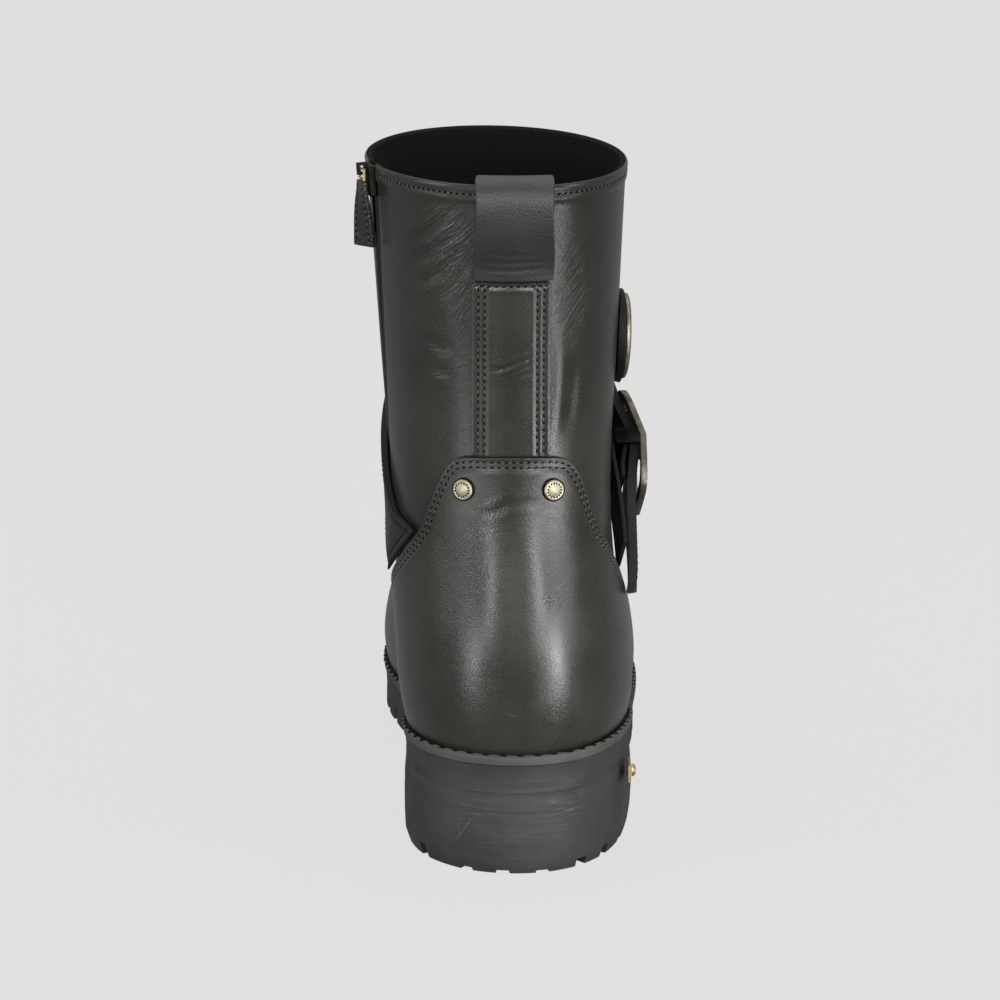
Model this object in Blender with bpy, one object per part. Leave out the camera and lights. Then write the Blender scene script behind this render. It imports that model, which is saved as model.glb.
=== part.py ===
"""A right motorcycle boot that stands empty on its sole.

Lengths are in millimetres and become metres when a mesh is made. The toe points along +Y, the inner side of
the foot is -X, and the origin is on the floor under the middle of the heel. Along the foot, s runs forward
from the back of the sole. Round the foot, turn runs from the back seam (0) over the outer side (90 degrees)
to the front (180 degrees) and back over the inner side. Up the wall, rise runs from the sole to the collar.
"""

import math
from collections import namedtuple

import bmesh
import bpy
import numpy as np
from mathutils import Matrix, Vector

MM = 0.001
GAP = 0.3  # between pieces that meet

# Driving sizes
SOLE_LENGTH = 304.0
HEEL_MIDDLE = 42.0  # from the back of the sole to the origin
HEEL_BREAST = 78.0  # from the back of the sole to the front of the heel
WELT_THICK = 3.7
WALL = 2.4  # upper
LAP = 1.8  # leather that lies over the upper
INSOLE_THICK = 3.5
TURNS = 48  # points round the upper and the sole
COLUMN_DEG = 360.0 / TURNS
ROLL_HEIGHT = 5.5  # rolled edge of the collar
ROLL_LIFT = 0.5

# Sole from the side: a row for each station
Station = namedtuple("Station", "s top bottom")
SOLE_PROFILE = (
    Station(0, 40.0, 30.5),
    Station(40, 39.2, 29.8),
    Station(78, 35.5, 26.6),
    Station(110, 27.0, 18.5),
    Station(140, 20.0, 7.5),
    Station(165, 16.6, 1.2),
    Station(182, 15.6, 0.0),
    Station(235, 15.6, 0.0),
    Station(272, 18.6, 4.0),
    Station(SOLE_LENGTH, 25.0, 11.0),
)

# Sections of the upper, from the sole to the collar. Each is a closed loop with a back and a front end (place,
# height, radius, shift to the side) and half widths of the inner and outer side, at three shares of its length.
# follow is how much of the sole's own curve the loop takes over.
WIDTH_SHARES = (0.14, 0.45, 0.74)
Section = namedtuple(
    "Section",
    "back_s back_z back_r back_x front_s front_z front_r front_x"
    " heel_in mid_in fore_in heel_out mid_out fore_out follow",
)
SECTIONS = (
    Section(6.5, 40.3, 34, 0.0, 298, 25.3, 34, -4.5, 35.5, 29.5, 44.6, 35.5, 41.0, 45.4, 1.00),
    Section(3.4, 53.0, 37, 0.0, 300, 36.0, 36, -4.5, 38.5, 32.0, 47.1, 38.5, 43.0, 47.7, 0.92),
    Section(2.8, 66.0, 38, 0.0, 298, 47.0, 34, -4.5, 39.8, 33.5, 46.1, 39.0, 42.0, 46.6, 0.75),
    Section(3.2, 79.0, 38, -0.2, 289, 58.0, 31, -4.8, 40.0, 34.8, 42.5, 38.6, 40.6, 44.0, 0.55),
    Section(4.8, 91.0, 37, -0.4, 266, 67.5, 27, -5.2, 39.6, 36.0, 36.5, 37.0, 38.0, 38.0, 0.35),
    Section(7.2, 103.0, 37, -0.8, 234, 77.5, 25, -5.8, 38.8, 37.4, 33.0, 35.2, 36.8, 33.5, 0.20),
    Section(9.6, 115.0, 37, -1.2, 201, 91.0, 24, -6.6, 37.5, 38.7, 32.0, 33.8, 36.4, 31.5, 0.08),
    Section(11.4, 128.0, 38, -1.5, 173, 110.0, 25, -7.6, 35.8, 39.8, 32.2, 32.8, 36.8, 31.0, 0.00),
    Section(12.2, 144.0, 39, -1.6, 153, 135.0, 28, -8.6, 34.2, 41.2, 33.5, 32.0, 38.0, 32.3, 0.00),
    Section(12.0, 168.0, 40, -1.6, 141, 165.0, 32, -9.8, 33.0, 42.9, 35.6, 31.6, 40.6, 34.6, 0.00),
    Section(10.5, 207.0, 41, -1.4, 135, 207.0, 35, -11.0, 33.0, 45.0, 38.6, 31.8, 43.2, 37.6, 0.00),
    Section(8.0, 247.0, 42, -1.0, 131, 250.0, 37, -12.0, 33.4, 47.2, 41.0, 32.4, 45.4, 40.2, 0.00),
)
SOLE_EDGE = Section(
    0, 0, 37, 0.0, SOLE_LENGTH, 0, 37, -4.5, 40.3, 34.5, 50.1, 40.3, 46.5, 50.9, 0.00
)

# Counter's top edge: its height and how far round the back it lies there, on the inner and the outer side
CounterEdge = namedtuple("CounterEdge", "height inner_deg outer_deg")
COUNTER_EDGE = (
    CounterEdge(150.0, 0, 0),
    CounterEdge(149.6, 18, 17),
    CounterEdge(148.0, 23.5, 24.5),
    CounterEdge(141.5, 28.2, 29.7),
    CounterEdge(132.0, 31, 33),
    CounterEdge(121.0, 34, 37),
    CounterEdge(113.0, 40, 43),
    CounterEdge(102.0, 50, 51),
    CounterEdge(91.0, 61, 61),
    CounterEdge(84.0, 75, 75),
)
SIDE_SEAM_DEG = 75.0  # on a column of the upper's points

# Vamp's top edge: its height and how far from the front seam line it lies there
VampEdge = namedtuple("VampEdge", "from_front_deg height")
VAMP_EDGE = (
    VampEdge(0, 124.0),
    VampEdge(22, 119.0),
    VampEdge(48, 103.0),
    VampEdge(72, 90.0),
    VampEdge(105, 83.5),
)


# Smooth curves


def spline_weights(knots, at):
    """Weight of each knot's value at each point, on the natural cubic through the knots."""
    knots = np.asarray(knots, float)
    count = len(knots)
    step = np.diff(knots)
    system = np.eye(count)
    source = np.zeros((count, count))
    for i in range(1, count - 1):
        system[i, i - 1 : i + 2] = step[i - 1], 2 * (step[i - 1] + step[i]), step[i]
        source[i, i - 1 : i + 2] = 6 / step[i - 1], -6 / step[i - 1] - 6 / step[i], 6 / step[i]
    bend = np.linalg.solve(system, source)
    i = np.clip(np.searchsorted(knots, at) - 1, 0, count - 2)
    left = ((knots[i + 1] - at) / step[i])[:, None]
    right = 1 - left
    scale = (step[i] ** 2 / 6)[:, None]
    unit = np.eye(count)
    straight = left * unit[i] + right * unit[i + 1]
    return straight + scale * ((left**3 - left) * bend[i] + (right**3 - right) * bend[i + 1])


def spline(knots, values, at):
    at = np.atleast_1d(np.asarray(at, float))
    return spline_weights(knots, at) @ np.asarray(values, float)


def sole_top(s):
    return spline([row.s for row in SOLE_PROFILE], [row.top for row in SOLE_PROFILE], s)


def sole_bottom(s):
    curve = spline([row.s for row in SOLE_PROFILE], [row.bottom for row in SOLE_PROFILE], s)
    return np.maximum(curve, 0.0)


# The upper's own function


def loop_plan(row, turn):
    """Places (x, s) on a section's loop, and its share of the way from the back to the front."""
    share = (1 - np.cos(turn)) / 2
    half = (row.front_s - row.back_s) / 2
    angle = np.arccos(np.clip(np.cos(turn), -1, 1))
    knots = [0.0] + [math.acos(1 - 2 * width) for width in WIDTH_SHARES] + [math.pi]
    ends = math.sqrt(row.back_r * half), math.sqrt(row.front_r * half)
    widths = {}
    for side in ("in", "out"):
        halves = [getattr(row, f"{part}_{side}") for part in ("heel", "mid", "fore")]
        fullness = [value / math.sin(knot) for value, knot in zip(halves, knots[1:4])]
        widths[side] = spline(knots, [ends[0], *fullness, ends[1]], angle)
    full = np.where(np.sin(turn) >= 0, widths["out"], widths["in"])
    x = row.back_x + (row.front_x - row.back_x) * share + full * np.sin(turn)
    return x, row.back_s + 2 * half * share, share


def section_loop(row, turn):
    x, s, share = loop_plan(row, turn)
    base = SECTIONS[0].back_z + (SECTIONS[0].front_z - SECTIONS[0].back_z) * share
    z = row.back_z + (row.front_z - row.back_z) * share + row.follow * (sole_top(s) + GAP - base)
    return np.stack([x, s - HEEL_MIDDLE, z], axis=-1)


def section_rises():
    """Height of each section up the wall, as the mean of the back's and the front's length."""
    steps = [0.0]
    for low, high in zip(SECTIONS, SECTIONS[1:]):
        back = math.hypot(high.back_s - low.back_s, high.back_z - low.back_z)
        front = math.hypot(high.front_s - low.front_s, high.front_z - low.front_z)
        steps.append(steps[-1] + (back + front) / 2)
    return steps


RISES = section_rises()
COLLAR = RISES[-1]

# Rows of points up the upper: close together over the welt, even up the wall, then the collar's rolled edge
FOOT_ROWS = (0.0, 5.0, 11.0, 18.0)
WALL_FOOT = 27.0
WALL_ROWS = 15
ROLL_ROWS = (ROLL_HEIGHT + 1.0, ROLL_HEIGHT, 1.2, 0.0)  # below the collar
UPPER_RISES = np.concatenate([
    FOOT_ROWS,
    np.linspace(WALL_FOOT, COLLAR - 2 * ROLL_HEIGHT, WALL_ROWS),
    COLLAR - np.array(ROLL_ROWS),
])
UPPER_LIFTS = np.concatenate([np.zeros(len(FOOT_ROWS) + WALL_ROWS), (0.0, ROLL_LIFT, ROLL_LIFT, 0.0)])
ROUND = np.arange(TURNS) * 2 * math.pi / TURNS
BEYOND = 6.0  # how far the wall's curves are followed past its ends
HALVINGS = 40


def wall(turn, rise):
    """Points on the outer face of the upper."""
    loops = np.stack([section_loop(row, turn) for row in SECTIONS])
    return np.einsum("nl,lnk->nk", spline_weights(RISES, rise), loops)


def wall_frame(turn, rise):
    """Points on the outer face, with the outward normal and the lengths of a unit of turn and of rise."""
    small = 0.01
    along = (wall(turn + small, rise) - wall(turn - small, rise)) / (2 * small)
    up = (wall(turn, rise + small) - wall(turn, rise - small)) / (2 * small)
    normal = np.cross(along, up)
    normal /= np.linalg.norm(normal, axis=1)[:, None]
    return wall(turn, rise), normal, np.linalg.norm(along, axis=1), np.linalg.norm(up, axis=1)


def lifted(turn, rise, lift):
    """Points a given way out from the upper's outer face."""
    turn, rise, lift = np.broadcast_arrays(turn, rise, lift)
    shape = turn.shape
    point, normal, _, _ = wall_frame(turn.ravel().astype(float), rise.ravel().astype(float))
    return (point + normal * lift.ravel()[:, None]).reshape(*shape, 3)


def facet_sag(turn, rise):
    """How far the upper's flat facets stand out from its smooth outer face, where that is hollow."""
    column = turn / (2 * math.pi / TURNS)
    right = column - np.floor(column)
    first = np.floor(column) * 2 * math.pi / TURNS
    row = np.clip(np.searchsorted(UPPER_RISES, rise) - 1, 0, len(UPPER_RISES) - 2)
    low, high = UPPER_RISES[row], UPPER_RISES[row + 1]
    upper = (rise - low) / (high - low)
    second = first + 2 * math.pi / TURNS
    flat = sum(
        (across * along)[:, None] * wall(angle, level)
        for angle, across in ((first, 1 - right), (second, right))
        for level, along in ((low, 1 - upper), (high, upper))
    )
    point, normal, _, _ = wall_frame(turn, rise)
    return np.maximum(((flat - point) * normal).sum(axis=1), 0.0)


def seated(turn, rise, lift):
    """Points a given way out from the upper, clear of its facets too."""
    turn, rise, lift = np.broadcast_arrays(turn, rise, lift)
    sag = facet_sag(turn.ravel().astype(float), rise.ravel().astype(float)).reshape(turn.shape)
    return lifted(turn, rise, lift + sag)


def rise_where(turn, measure, target, lift=0.0):
    """How far up the wall a measure of its points, or of those over it, reaches the target, by halving."""
    low = np.full(len(turn), -BEYOND)
    high = np.full(len(turn), COLLAR + BEYOND)
    for _ in range(HALVINGS):
        middle = (low + high) / 2
        below = measure(lifted(turn, middle, lift)) < target
        low = np.where(below, middle, low)
        high = np.where(below, high, middle)
    return (low + high) / 2


def rise_at_height(turn, height):
    return rise_where(turn, lambda points: points[:, 2], height)


def rise_over_sole(turn, height, lift=0.0):
    """How far up the wall it stands a given height over the sole's top."""
    return rise_where(turn, lambda points: points[:, 2] - sole_top(points[:, 1] + HEEL_MIDDLE), height, lift)


def spot(turn_deg, height):
    """A place on the upper's outer face: its point, its outward normal, and the ways round and up the wall."""
    turn = np.array([math.radians(turn_deg)])
    rise = rise_at_height(turn, np.array([height]))
    point, out, _, _ = wall_frame(turn, rise)
    round_way = wall(turn + 0.01, rise)[0] - wall(turn - 0.01, rise)[0]
    round_way /= np.linalg.norm(round_way)
    return Vector(point[0]), Vector(out[0]), Vector(round_way), Vector(np.cross(out[0], round_way))


def edge_plan(turn, inset):
    """Outline of the sole's edge from above, moved inwards by the inset."""
    small = 1e-3
    x, s, _ = loop_plan(SOLE_EDGE, turn)
    ahead_x, ahead_s, _ = loop_plan(SOLE_EDGE, turn + small)
    behind_x, behind_s, _ = loop_plan(SOLE_EDGE, turn - small)
    along = np.stack([ahead_x - behind_x, ahead_s - behind_s], axis=-1)
    along /= np.linalg.norm(along, axis=1)[:, None]
    return x - inset * along[:, 1], s + inset * along[:, 0]


# Meshes


def material(name, colour, roughness, metallic):
    made = bpy.data.materials.new(name)
    made.use_nodes = True
    shader = made.node_tree.nodes["Principled BSDF"]
    shader.inputs["Base Color"].default_value = (*colour, 1.0)
    shader.inputs["Roughness"].default_value = roughness
    shader.inputs["Metallic"].default_value = metallic
    return made


LEATHER = ((0.018, 0.018, 0.016), 0.45, 0.0)
RUBBER = ((0.035, 0.034, 0.033), 0.75, 0.0)
BOARD = ((0.10, 0.08, 0.06), 0.85, 0.0)
TAPE = ((0.012, 0.012, 0.012), 0.9, 0.0)
NICKEL = ((0.62, 0.60, 0.53), 0.32, 1.0)
BRASS = ((0.62, 0.50, 0.28), 0.35, 1.0)


def add(name, data, finish):
    """One named object with its own material."""
    data.materials.append(material(name, *finish))
    made = bpy.data.objects.new(name, data)
    bpy.context.collection.objects.link(made)
    return made


def add_shaped(name, shaped, finish, sharp_deg=40):
    """One named object from a bmesh, its faces turned outwards."""
    bmesh.ops.recalc_face_normals(shaped, faces=shaped.faces)
    mesh = bpy.data.meshes.new(name)
    shaped.to_mesh(mesh)
    shaped.free()
    mesh.shade_smooth()
    mesh.set_sharp_from_angle(angle=math.radians(sharp_deg))
    return add(name, mesh, finish)


def make(name, points, faces, finish):
    """One named object from points in millimetres."""
    mesh = bpy.data.meshes.new(name)
    mesh.from_pydata((np.asarray(points) * MM).tolist(), [], faces)
    shaped = bmesh.new()
    shaped.from_mesh(mesh)
    bpy.data.meshes.remove(mesh)
    return add_shaped(name, shaped, finish)


def sheet(name, grid, thick, finish, outwards=True, closed=False, cut=()):
    """A grid of points, rows up and columns round, thickened by a Solidify. cut holds cells left open."""
    rows, columns = grid.shape[:2]
    faces = []
    for r in range(rows - 1):
        for c in range(columns if closed else columns - 1):
            if (r, c) not in cut:
                d = (c + 1) % columns
                faces.append([r * columns + c, r * columns + d, (r + 1) * columns + d, (r + 1) * columns + c])
    mesh = bpy.data.meshes.new(name)
    mesh.from_pydata((grid.reshape(-1, 3) * MM).tolist(), [], faces)
    mesh.shade_smooth()
    made = add(name, mesh, finish)
    solid = made.modifiers.new("thickness", "SOLIDIFY")
    solid.thickness = thick * MM
    solid.offset = 1.0 if outwards else -1.0
    solid.use_even_offset = True
    return made


def strips(count, mirror):
    """Faces that close a loop of points with strips across, from each point to its mirror point."""
    faces = []
    for i in range(count):
        corners = [i, i + 1, mirror(i + 1), mirror(i)]
        faces.append(list(dict.fromkeys(corners)))
    return faces


def stack(name, rings, mirror, count, finish):
    """Rings of points one over another, bridged, with strips across the first and the last."""
    size = len(rings[0])
    faces = []
    for r in range(len(rings) - 1):
        for i in range(size):
            j = (i + 1) % size
            faces.append([r * size + i, r * size + j, (r + 1) * size + j, (r + 1) * size + i])
    last = (len(rings) - 1) * size
    for strip in strips(count, mirror):
        faces.append(strip)
        faces.append([last + i for i in strip])
    return make(name, np.concatenate(rings), faces, finish)


def beam(name, rings, finish):
    """Rings of points along a strap, bridged, with the first and the last closed."""
    size = len(rings[0])
    last = (len(rings) - 1) * size
    faces = [list(range(size)), list(range(last, last + size))]
    for start in range(0, last, size):
        for i in range(size):
            j = (i + 1) % size
            faces.append([start + i, start + j, start + size + j, start + size + i])
    return make(name, np.concatenate(rings), faces, finish)


def hoop(name, rings, finish):
    """Rings of points round the foot, bridged in turn and the last to the first."""
    size = len(rings[0])
    faces = []
    for r in range(len(rings)):
        for i in range(size):
            j = (i + 1) % size
            n = (r + 1) % len(rings)
            faces.append([r * size + i, r * size + j, n * size + j, n * size + i])
    return make(name, np.concatenate(rings), faces, finish)


def raised(x, s, z):
    """Points from places on the sole and heights."""
    return np.stack([x, s - HEEL_MIDDLE, z], axis=-1)


def boxes(name, places):
    """A hidden cutter of boxes, each a (middle, size, turn about Z) in millimetres."""
    shaped = bmesh.new()
    for middle, size, heading in places:
        matrix = (
            Matrix.Translation(Vector(middle) * MM)
            @ Matrix.Rotation(heading, 4, "Z")
            @ Matrix.Diagonal((*(Vector(size) * MM), 1.0))
        )
        bmesh.ops.create_cube(shaped, size=1.0, matrix=matrix)
    mesh = bpy.data.meshes.new(name)
    shaped.to_mesh(mesh)
    shaped.free()
    made = bpy.data.objects.new(name, mesh)
    bpy.context.collection.objects.link(made)
    made.hide_render = True
    made.display_type = "WIRE"
    return made


def cut_by(target, cutter):
    """Takes the cutter's boxes out of an object."""
    groove = target.modifiers.new("grooves", "BOOLEAN")
    groove.operation = "DIFFERENCE"
    groove.solver = "EXACT"
    groove.object = cutter


def frame_at(origin, x_way, y_way, z_way):
    """A matrix that places a shape drawn in millimetres at a point, along three axes."""
    turned = Matrix((x_way, y_way, z_way)).transposed().to_4x4()
    return Matrix.Translation(origin * MM) @ turned @ Matrix.Diagonal((MM, MM, MM, 1.0))


def lathe(name, profile, place, finish, sides):
    """A profile of (radius, height) points, turned round its axis and placed."""
    shaped = bmesh.new()
    points = [shaped.verts.new((radius, 0.0, height)) for radius, height in profile]
    edges = [shaped.edges.new(pair) for pair in zip(points, points[1:])]
    bmesh.ops.spin(
        shaped,
        geom=points + edges,
        axis=(0, 0, 1),
        cent=(0, 0, 0),
        angle=2 * math.pi,
        steps=sides,
        use_merge=True,
    )
    bmesh.ops.remove_doubles(shaped, verts=shaped.verts, dist=1e-4)
    bmesh.ops.transform(shaped, matrix=place, verts=shaped.verts)
    return add_shaped(name, shaped, finish)


def block(name, low, high, bevel, place, finish):
    """A box between two corners, its edges broken, placed."""
    shaped = bmesh.new()
    middle = (Vector(low) + Vector(high)) / 2
    size = Vector(high) - Vector(low)
    bmesh.ops.create_cube(
        shaped, size=1.0, matrix=Matrix.Translation(middle) @ Matrix.Diagonal((*size, 1.0))
    )
    bmesh.ops.bevel(
        shaped, geom=shaped.edges[:], offset=bevel, segments=1, profile=0.5, affect="EDGES", material=-1
    )
    bmesh.ops.transform(shaped, matrix=place, verts=shaped.verts)
    return add_shaped(name, shaped, finish)


def wire(name, points, radius, finish, closed=False):
    """A round rod through points in millimetres."""
    curve = bpy.data.curves.new(name, "CURVE")
    curve.dimensions = "3D"
    line = curve.splines.new("POLY")
    line.points.add(len(points) - 1)
    for knot, point in zip(line.points, points):
        knot.co = (*(Vector(point) * MM), 1.0)
    line.use_cyclic_u = closed
    curve.bevel_depth = radius * MM
    curve.bevel_resolution = 2
    curve.use_fill_caps = True
    return add(name, curve, finish)


def join_in(target, other):
    """Makes another object, which is then hidden, one solid with the target."""
    other.hide_render = True
    other.display_type = "WIRE"
    union = target.modifiers.new("join", "BOOLEAN")
    union.operation = "UNION"
    union.solver = "EXACT"
    union.object = other


def hang(piece, pivot):
    """Puts a piece's origin on the axis that it swings about."""
    piece.data.transform(Matrix.Translation(-pivot * MM))
    piece.location = pivot * MM


for old in list(bpy.data.objects):
    bpy.data.objects.remove(old, do_unlink=True)


def opposite(i):
    """The point across the foot from a point of ROUND."""
    return (TURNS - i) % TURNS


# Outsole: a slab that follows the foot's curve, its side drawn in under the welt
SIDE_STEPS = ((0.0, 0.7), (0.35, 1.4), (1.0, 1.4))  # share of the thickness from the top, inset
LUG_DEPTH = 5.0
LUG_PITCH = 16.5
GROOVE = 5.5
SIDE_GROOVE = 21.0  # how far a groove reaches in from the edge
MIDDLE_GROOVE = 30.0
CUT_BELOW, CUT_BESIDE = 2.0, 8.0  # how far the cutters reach past the tread and the edge
FIRST_LUG_S, LAST_LUG_S = 152.0, 285.0

outsole_rings = []
for share, inset in SIDE_STEPS:
    edge_x, edge_s = edge_plan(ROUND, inset)
    thickness = sole_top(edge_s) - sole_bottom(edge_s)
    outsole_rings.append(raised(edge_x, edge_s, sole_top(edge_s) - share * thickness))
outsole = stack("outsole", outsole_rings, opposite, TURNS // 2, RUBBER)

forefoot_grooves = []
for k, groove_s in enumerate(np.arange(FIRST_LUG_S, LAST_LUG_S, LUG_PITCH / 2)):
    groove_y = groove_s - HEEL_MIDDLE
    level = float(sole_bottom(groove_s)[0]) + (LUG_DEPTH - CUT_BELOW) / 2
    turn = math.acos(1 - 2 * groove_s / SOLE_LENGTH)
    size_z = LUG_DEPTH + CUT_BELOW
    if k % 2:
        middle_x = float(loop_plan(SOLE_EDGE, np.array([turn, -turn]))[0].mean())
        forefoot_grooves.append(((middle_x, groove_y, level), (MIDDLE_GROOVE, GROOVE, size_z), 0))
        continue
    for side in (1, -1):
        edge_x, _, _ = loop_plan(SOLE_EDGE, np.array([side * turn]))
        reach = (float(edge_x[0]) - side * (SIDE_GROOVE - CUT_BESIDE) / 2, groove_y, level)
        forefoot_grooves.append((reach, (SIDE_GROOVE + CUT_BESIDE, GROOVE, size_z), 0))
cut_by(outsole, boxes("outsole_grooves", forefoot_grooves))

# Heel: a block under the heel seat, with notches round its edge, which are worn shallow at the back
HEEL_STEPS = ((0.0, 1.4), (0.35, 0.7), (0.86, 0.9), (1.0, 2.4))  # share of the height from the top, inset
Notch = namedtuple("Notch", "deg depth")
HEEL_NOTCHES = (
    Notch(-92, 5.0),
    Notch(-61, 5.0),
    Notch(-27, 1.2),
    Notch(-7, 1.2),
    Notch(14, 1.0),
    Notch(38, 3.2),
    Notch(61, 4.2),
    Notch(92, 5.0),
)
NOTCH_LENGTH, NOTCH_WIDTH = 17.0, 5.0
HEEL_RADIUS = 39.0
HEEL_POINTS = 29

breast_turn = math.acos(1 - 2 * HEEL_BREAST / SOLE_LENGTH)
heel_turns = np.linspace(-breast_turn, breast_turn, HEEL_POINTS)
heel_rings = []
for share, inset in HEEL_STEPS:
    edge_x, edge_s = edge_plan(heel_turns, inset)
    edge_s[[0, -1]] = HEEL_BREAST
    heel_rings.append(raised(edge_x, edge_s, (sole_bottom(edge_s) - GAP) * (1 - share)))
heel = stack("heel", heel_rings, lambda i: HEEL_POINTS - 1 - i, HEEL_POINTS // 2, RUBBER)

heel_grooves = []
for notch in HEEL_NOTCHES:
    angle = math.radians(notch.deg)
    level = (notch.depth - CUT_BELOW) / 2
    place = (HEEL_RADIUS * math.sin(angle), -HEEL_RADIUS * math.cos(angle), level)
    size = (NOTCH_LENGTH, NOTCH_WIDTH, notch.depth + CUT_BELOW)
    heel_grooves.append((place, size, math.atan2(-math.cos(angle), math.sin(angle))))
cut_by(heel, boxes("heel_grooves", heel_grooves))

# Welt: a strip on the sole's edge, tight round the foot of the upper
WELT_STEPS = ((0.0, 0.4), (0.5, 0.0), (0.9, 0.1), (1.0, 0.6))  # share of the thickness from below, inset

welt_rings = []
for share, inset in WELT_STEPS:
    edge_x, edge_s = edge_plan(ROUND, inset)
    welt_rings.append(raised(edge_x, edge_s, sole_top(edge_s) + GAP + share * WELT_THICK))
for share in (1.0, 0.0):
    ring = lifted(ROUND, rise_over_sole(ROUND, GAP + share * WELT_THICK), GAP)
    ring[:, 2] = sole_top(ring[:, 1] + HEEL_MIDDLE) + GAP + share * WELT_THICK
    welt_rings.append(ring)
hoop("welt", welt_rings, LEATHER)

# Insole: a board on the sole, inside the foot of the upper
insole_rings = []
for share in (0.0, 1.0):
    ring = lifted(ROUND, rise_over_sole(ROUND, GAP + share * INSOLE_THICK), -(WALL + 2 * GAP))
    ring[:, 2] = sole_top(ring[:, 1] + HEEL_MIDDLE) + GAP + share * INSOLE_THICK
    insole_rings.append(ring)
stack("insole", insole_rings, opposite, TURNS // 2, BOARD)

# Upper: one wall from the sole to the collar, with a rolled edge and a slot for the zip
ZIP_COLUMN = 38  # of the points round the upper, on the inner side
ZIP_WIDTH = 10.0
ZIP_FOOT = 116.0  # height of the zip's lower end

zip_turn = ZIP_COLUMN * 2 * math.pi / TURNS
zip_spans = wall_frame(np.full(len(UPPER_RISES), zip_turn), UPPER_RISES)[2]
columns = []
for i in range(TURNS):
    if i != ZIP_COLUMN:
        columns.append(np.full(len(UPPER_RISES), ROUND[i]))
        continue
    for side in (-0.5, 0.5):
        columns.append(zip_turn + side * ZIP_WIDTH / zip_spans)
upper_turns = np.stack(columns, axis=1)
upper_grid = lifted(upper_turns, UPPER_RISES[:, None], UPPER_LIFTS[:, None])
upper_grid[0, :, 2] = sole_top(upper_grid[0, :, 1] + HEEL_MIDDLE) + GAP
zip_foot_rise = rise_at_height(np.array([zip_turn]), ZIP_FOOT)[0]
zip_row = int(np.searchsorted(UPPER_RISES, zip_foot_rise))
slot_cells = {(r, ZIP_COLUMN) for r in range(zip_row, len(UPPER_RISES) - 1)}
sheet("upper", upper_grid, WALL, LEATHER, outwards=False, closed=True, cut=slot_cells)

# Counter: leather over the heel, from the welt to its curved top edge
COUNTER_ROWS = (0, 5, 10.5, 17, 26, 39, 57, 77, 94, 108)  # spacing up the counter, closest over the welt
OVER_WELT = 2 * GAP + WELT_THICK

counter_turns = np.radians(np.arange(-SIDE_SEAM_DEG, SIDE_SEAM_DEG + 1, COLUMN_DEG / 2))
heights = [row.height for row in COUNTER_EDGE]
inner_edge = np.interp(-counter_turns, np.radians([row.inner_deg for row in COUNTER_EDGE]), heights)
outer_edge = np.interp(counter_turns, np.radians([row.outer_deg for row in COUNTER_EDGE]), heights)
counter_top = rise_at_height(counter_turns, np.where(counter_turns < 0, inner_edge, outer_edge))
counter_foot = rise_over_sole(counter_turns, OVER_WELT, GAP + LAP)
share = np.array(COUNTER_ROWS)[:, None] / COUNTER_ROWS[-1]
counter_rises = counter_foot + share * (counter_top - counter_foot)
sheet("counter", seated(counter_turns[None, :], counter_rises, GAP), LAP, LEATHER)

# Vamp: leather over the front of the foot, from one side seam to the other
VAMP_ROWS = (0, 6, 13, 21, 29, 38, 48, 62, 84, 114, 154, 200)  # spacing up the vamp, closest over the welt
VAMP_LIFT = 2.1 * GAP
SEAM_DEG = 0.4

vamp_degrees = np.arange(SIDE_SEAM_DEG, 360 - SIDE_SEAM_DEG + 1, COLUMN_DEG)
vamp_degrees[[0, -1]] += SEAM_DEG, -SEAM_DEG
vamp_turns = np.radians(vamp_degrees)
from_front = np.degrees(np.abs(vamp_turns - math.pi))
vamp_heights = spline(
    [row.from_front_deg for row in VAMP_EDGE], [row.height for row in VAMP_EDGE], from_front
)
vamp_top = rise_at_height(vamp_turns, vamp_heights)
vamp_foot = rise_over_sole(vamp_turns, OVER_WELT, GAP + LAP)
share = np.array(VAMP_ROWS)[:, None] / VAMP_ROWS[-1]
vamp_rises = vamp_foot + share * (vamp_top - vamp_foot)
sheet("vamp", seated(vamp_turns[None, :], vamp_rises, VAMP_LIFT), LAP, LEATHER)

# Backstay: a strip over the back seam, from the counter to the pull loop
STAY_WIDTH = 28.0
STAY_HEIGHTS = np.linspace(150.6, 212.6, 6)
STAY_COLUMNS = 5

stay_rises = rise_at_height(np.zeros(len(STAY_HEIGHTS)), STAY_HEIGHTS)
stay_spans = wall_frame(np.zeros(len(STAY_HEIGHTS)), stay_rises)[2]
stay_turns = np.linspace(-0.5, 0.5, STAY_COLUMNS)[None, :] * STAY_WIDTH / stay_spans[:, None]
sheet("backstay", seated(stay_turns, stay_rises[:, None], GAP), LAP, LEATHER)

# Pull loop: a strap sewn over the backstay's top, which bows off the shaft, turns over the collar and goes
# down inside. bend is the share of the shaft's own curve that it takes across its width.
LOOP_WIDTH = 28.0
LOOP_MIDDLE = 0.9  # from the back seam, towards the outer side
LOOP_THICK = 1.7
LOOP_COLUMNS = 5
LoopRow = namedtuple("LoopRow", "height out bend")
LOOP_ROWS = (
    LoopRow(213.4, 0.4, 1.0),
    LoopRow(218.5, 1.0, 1.0),
    LoopRow(224.0, 3.4, 0.6),
    LoopRow(230.0, 6.2, 0.15),
    LoopRow(237.0, 7.3, 0.0),
    LoopRow(243.5, 7.1, 0.0),
    LoopRow(247.2, 4.8, 0.2),
    LoopRow(248.9, 1.4, 0.6),
    LoopRow(248.8, -1.8, 0.9),
    LoopRow(246.4, -3.9, 1.0),
    LoopRow(241.0, -3.1, 1.0),
    LoopRow(233.0, -2.9, 1.0),
    LoopRow(225.0, -2.9, 1.0),
)

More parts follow.
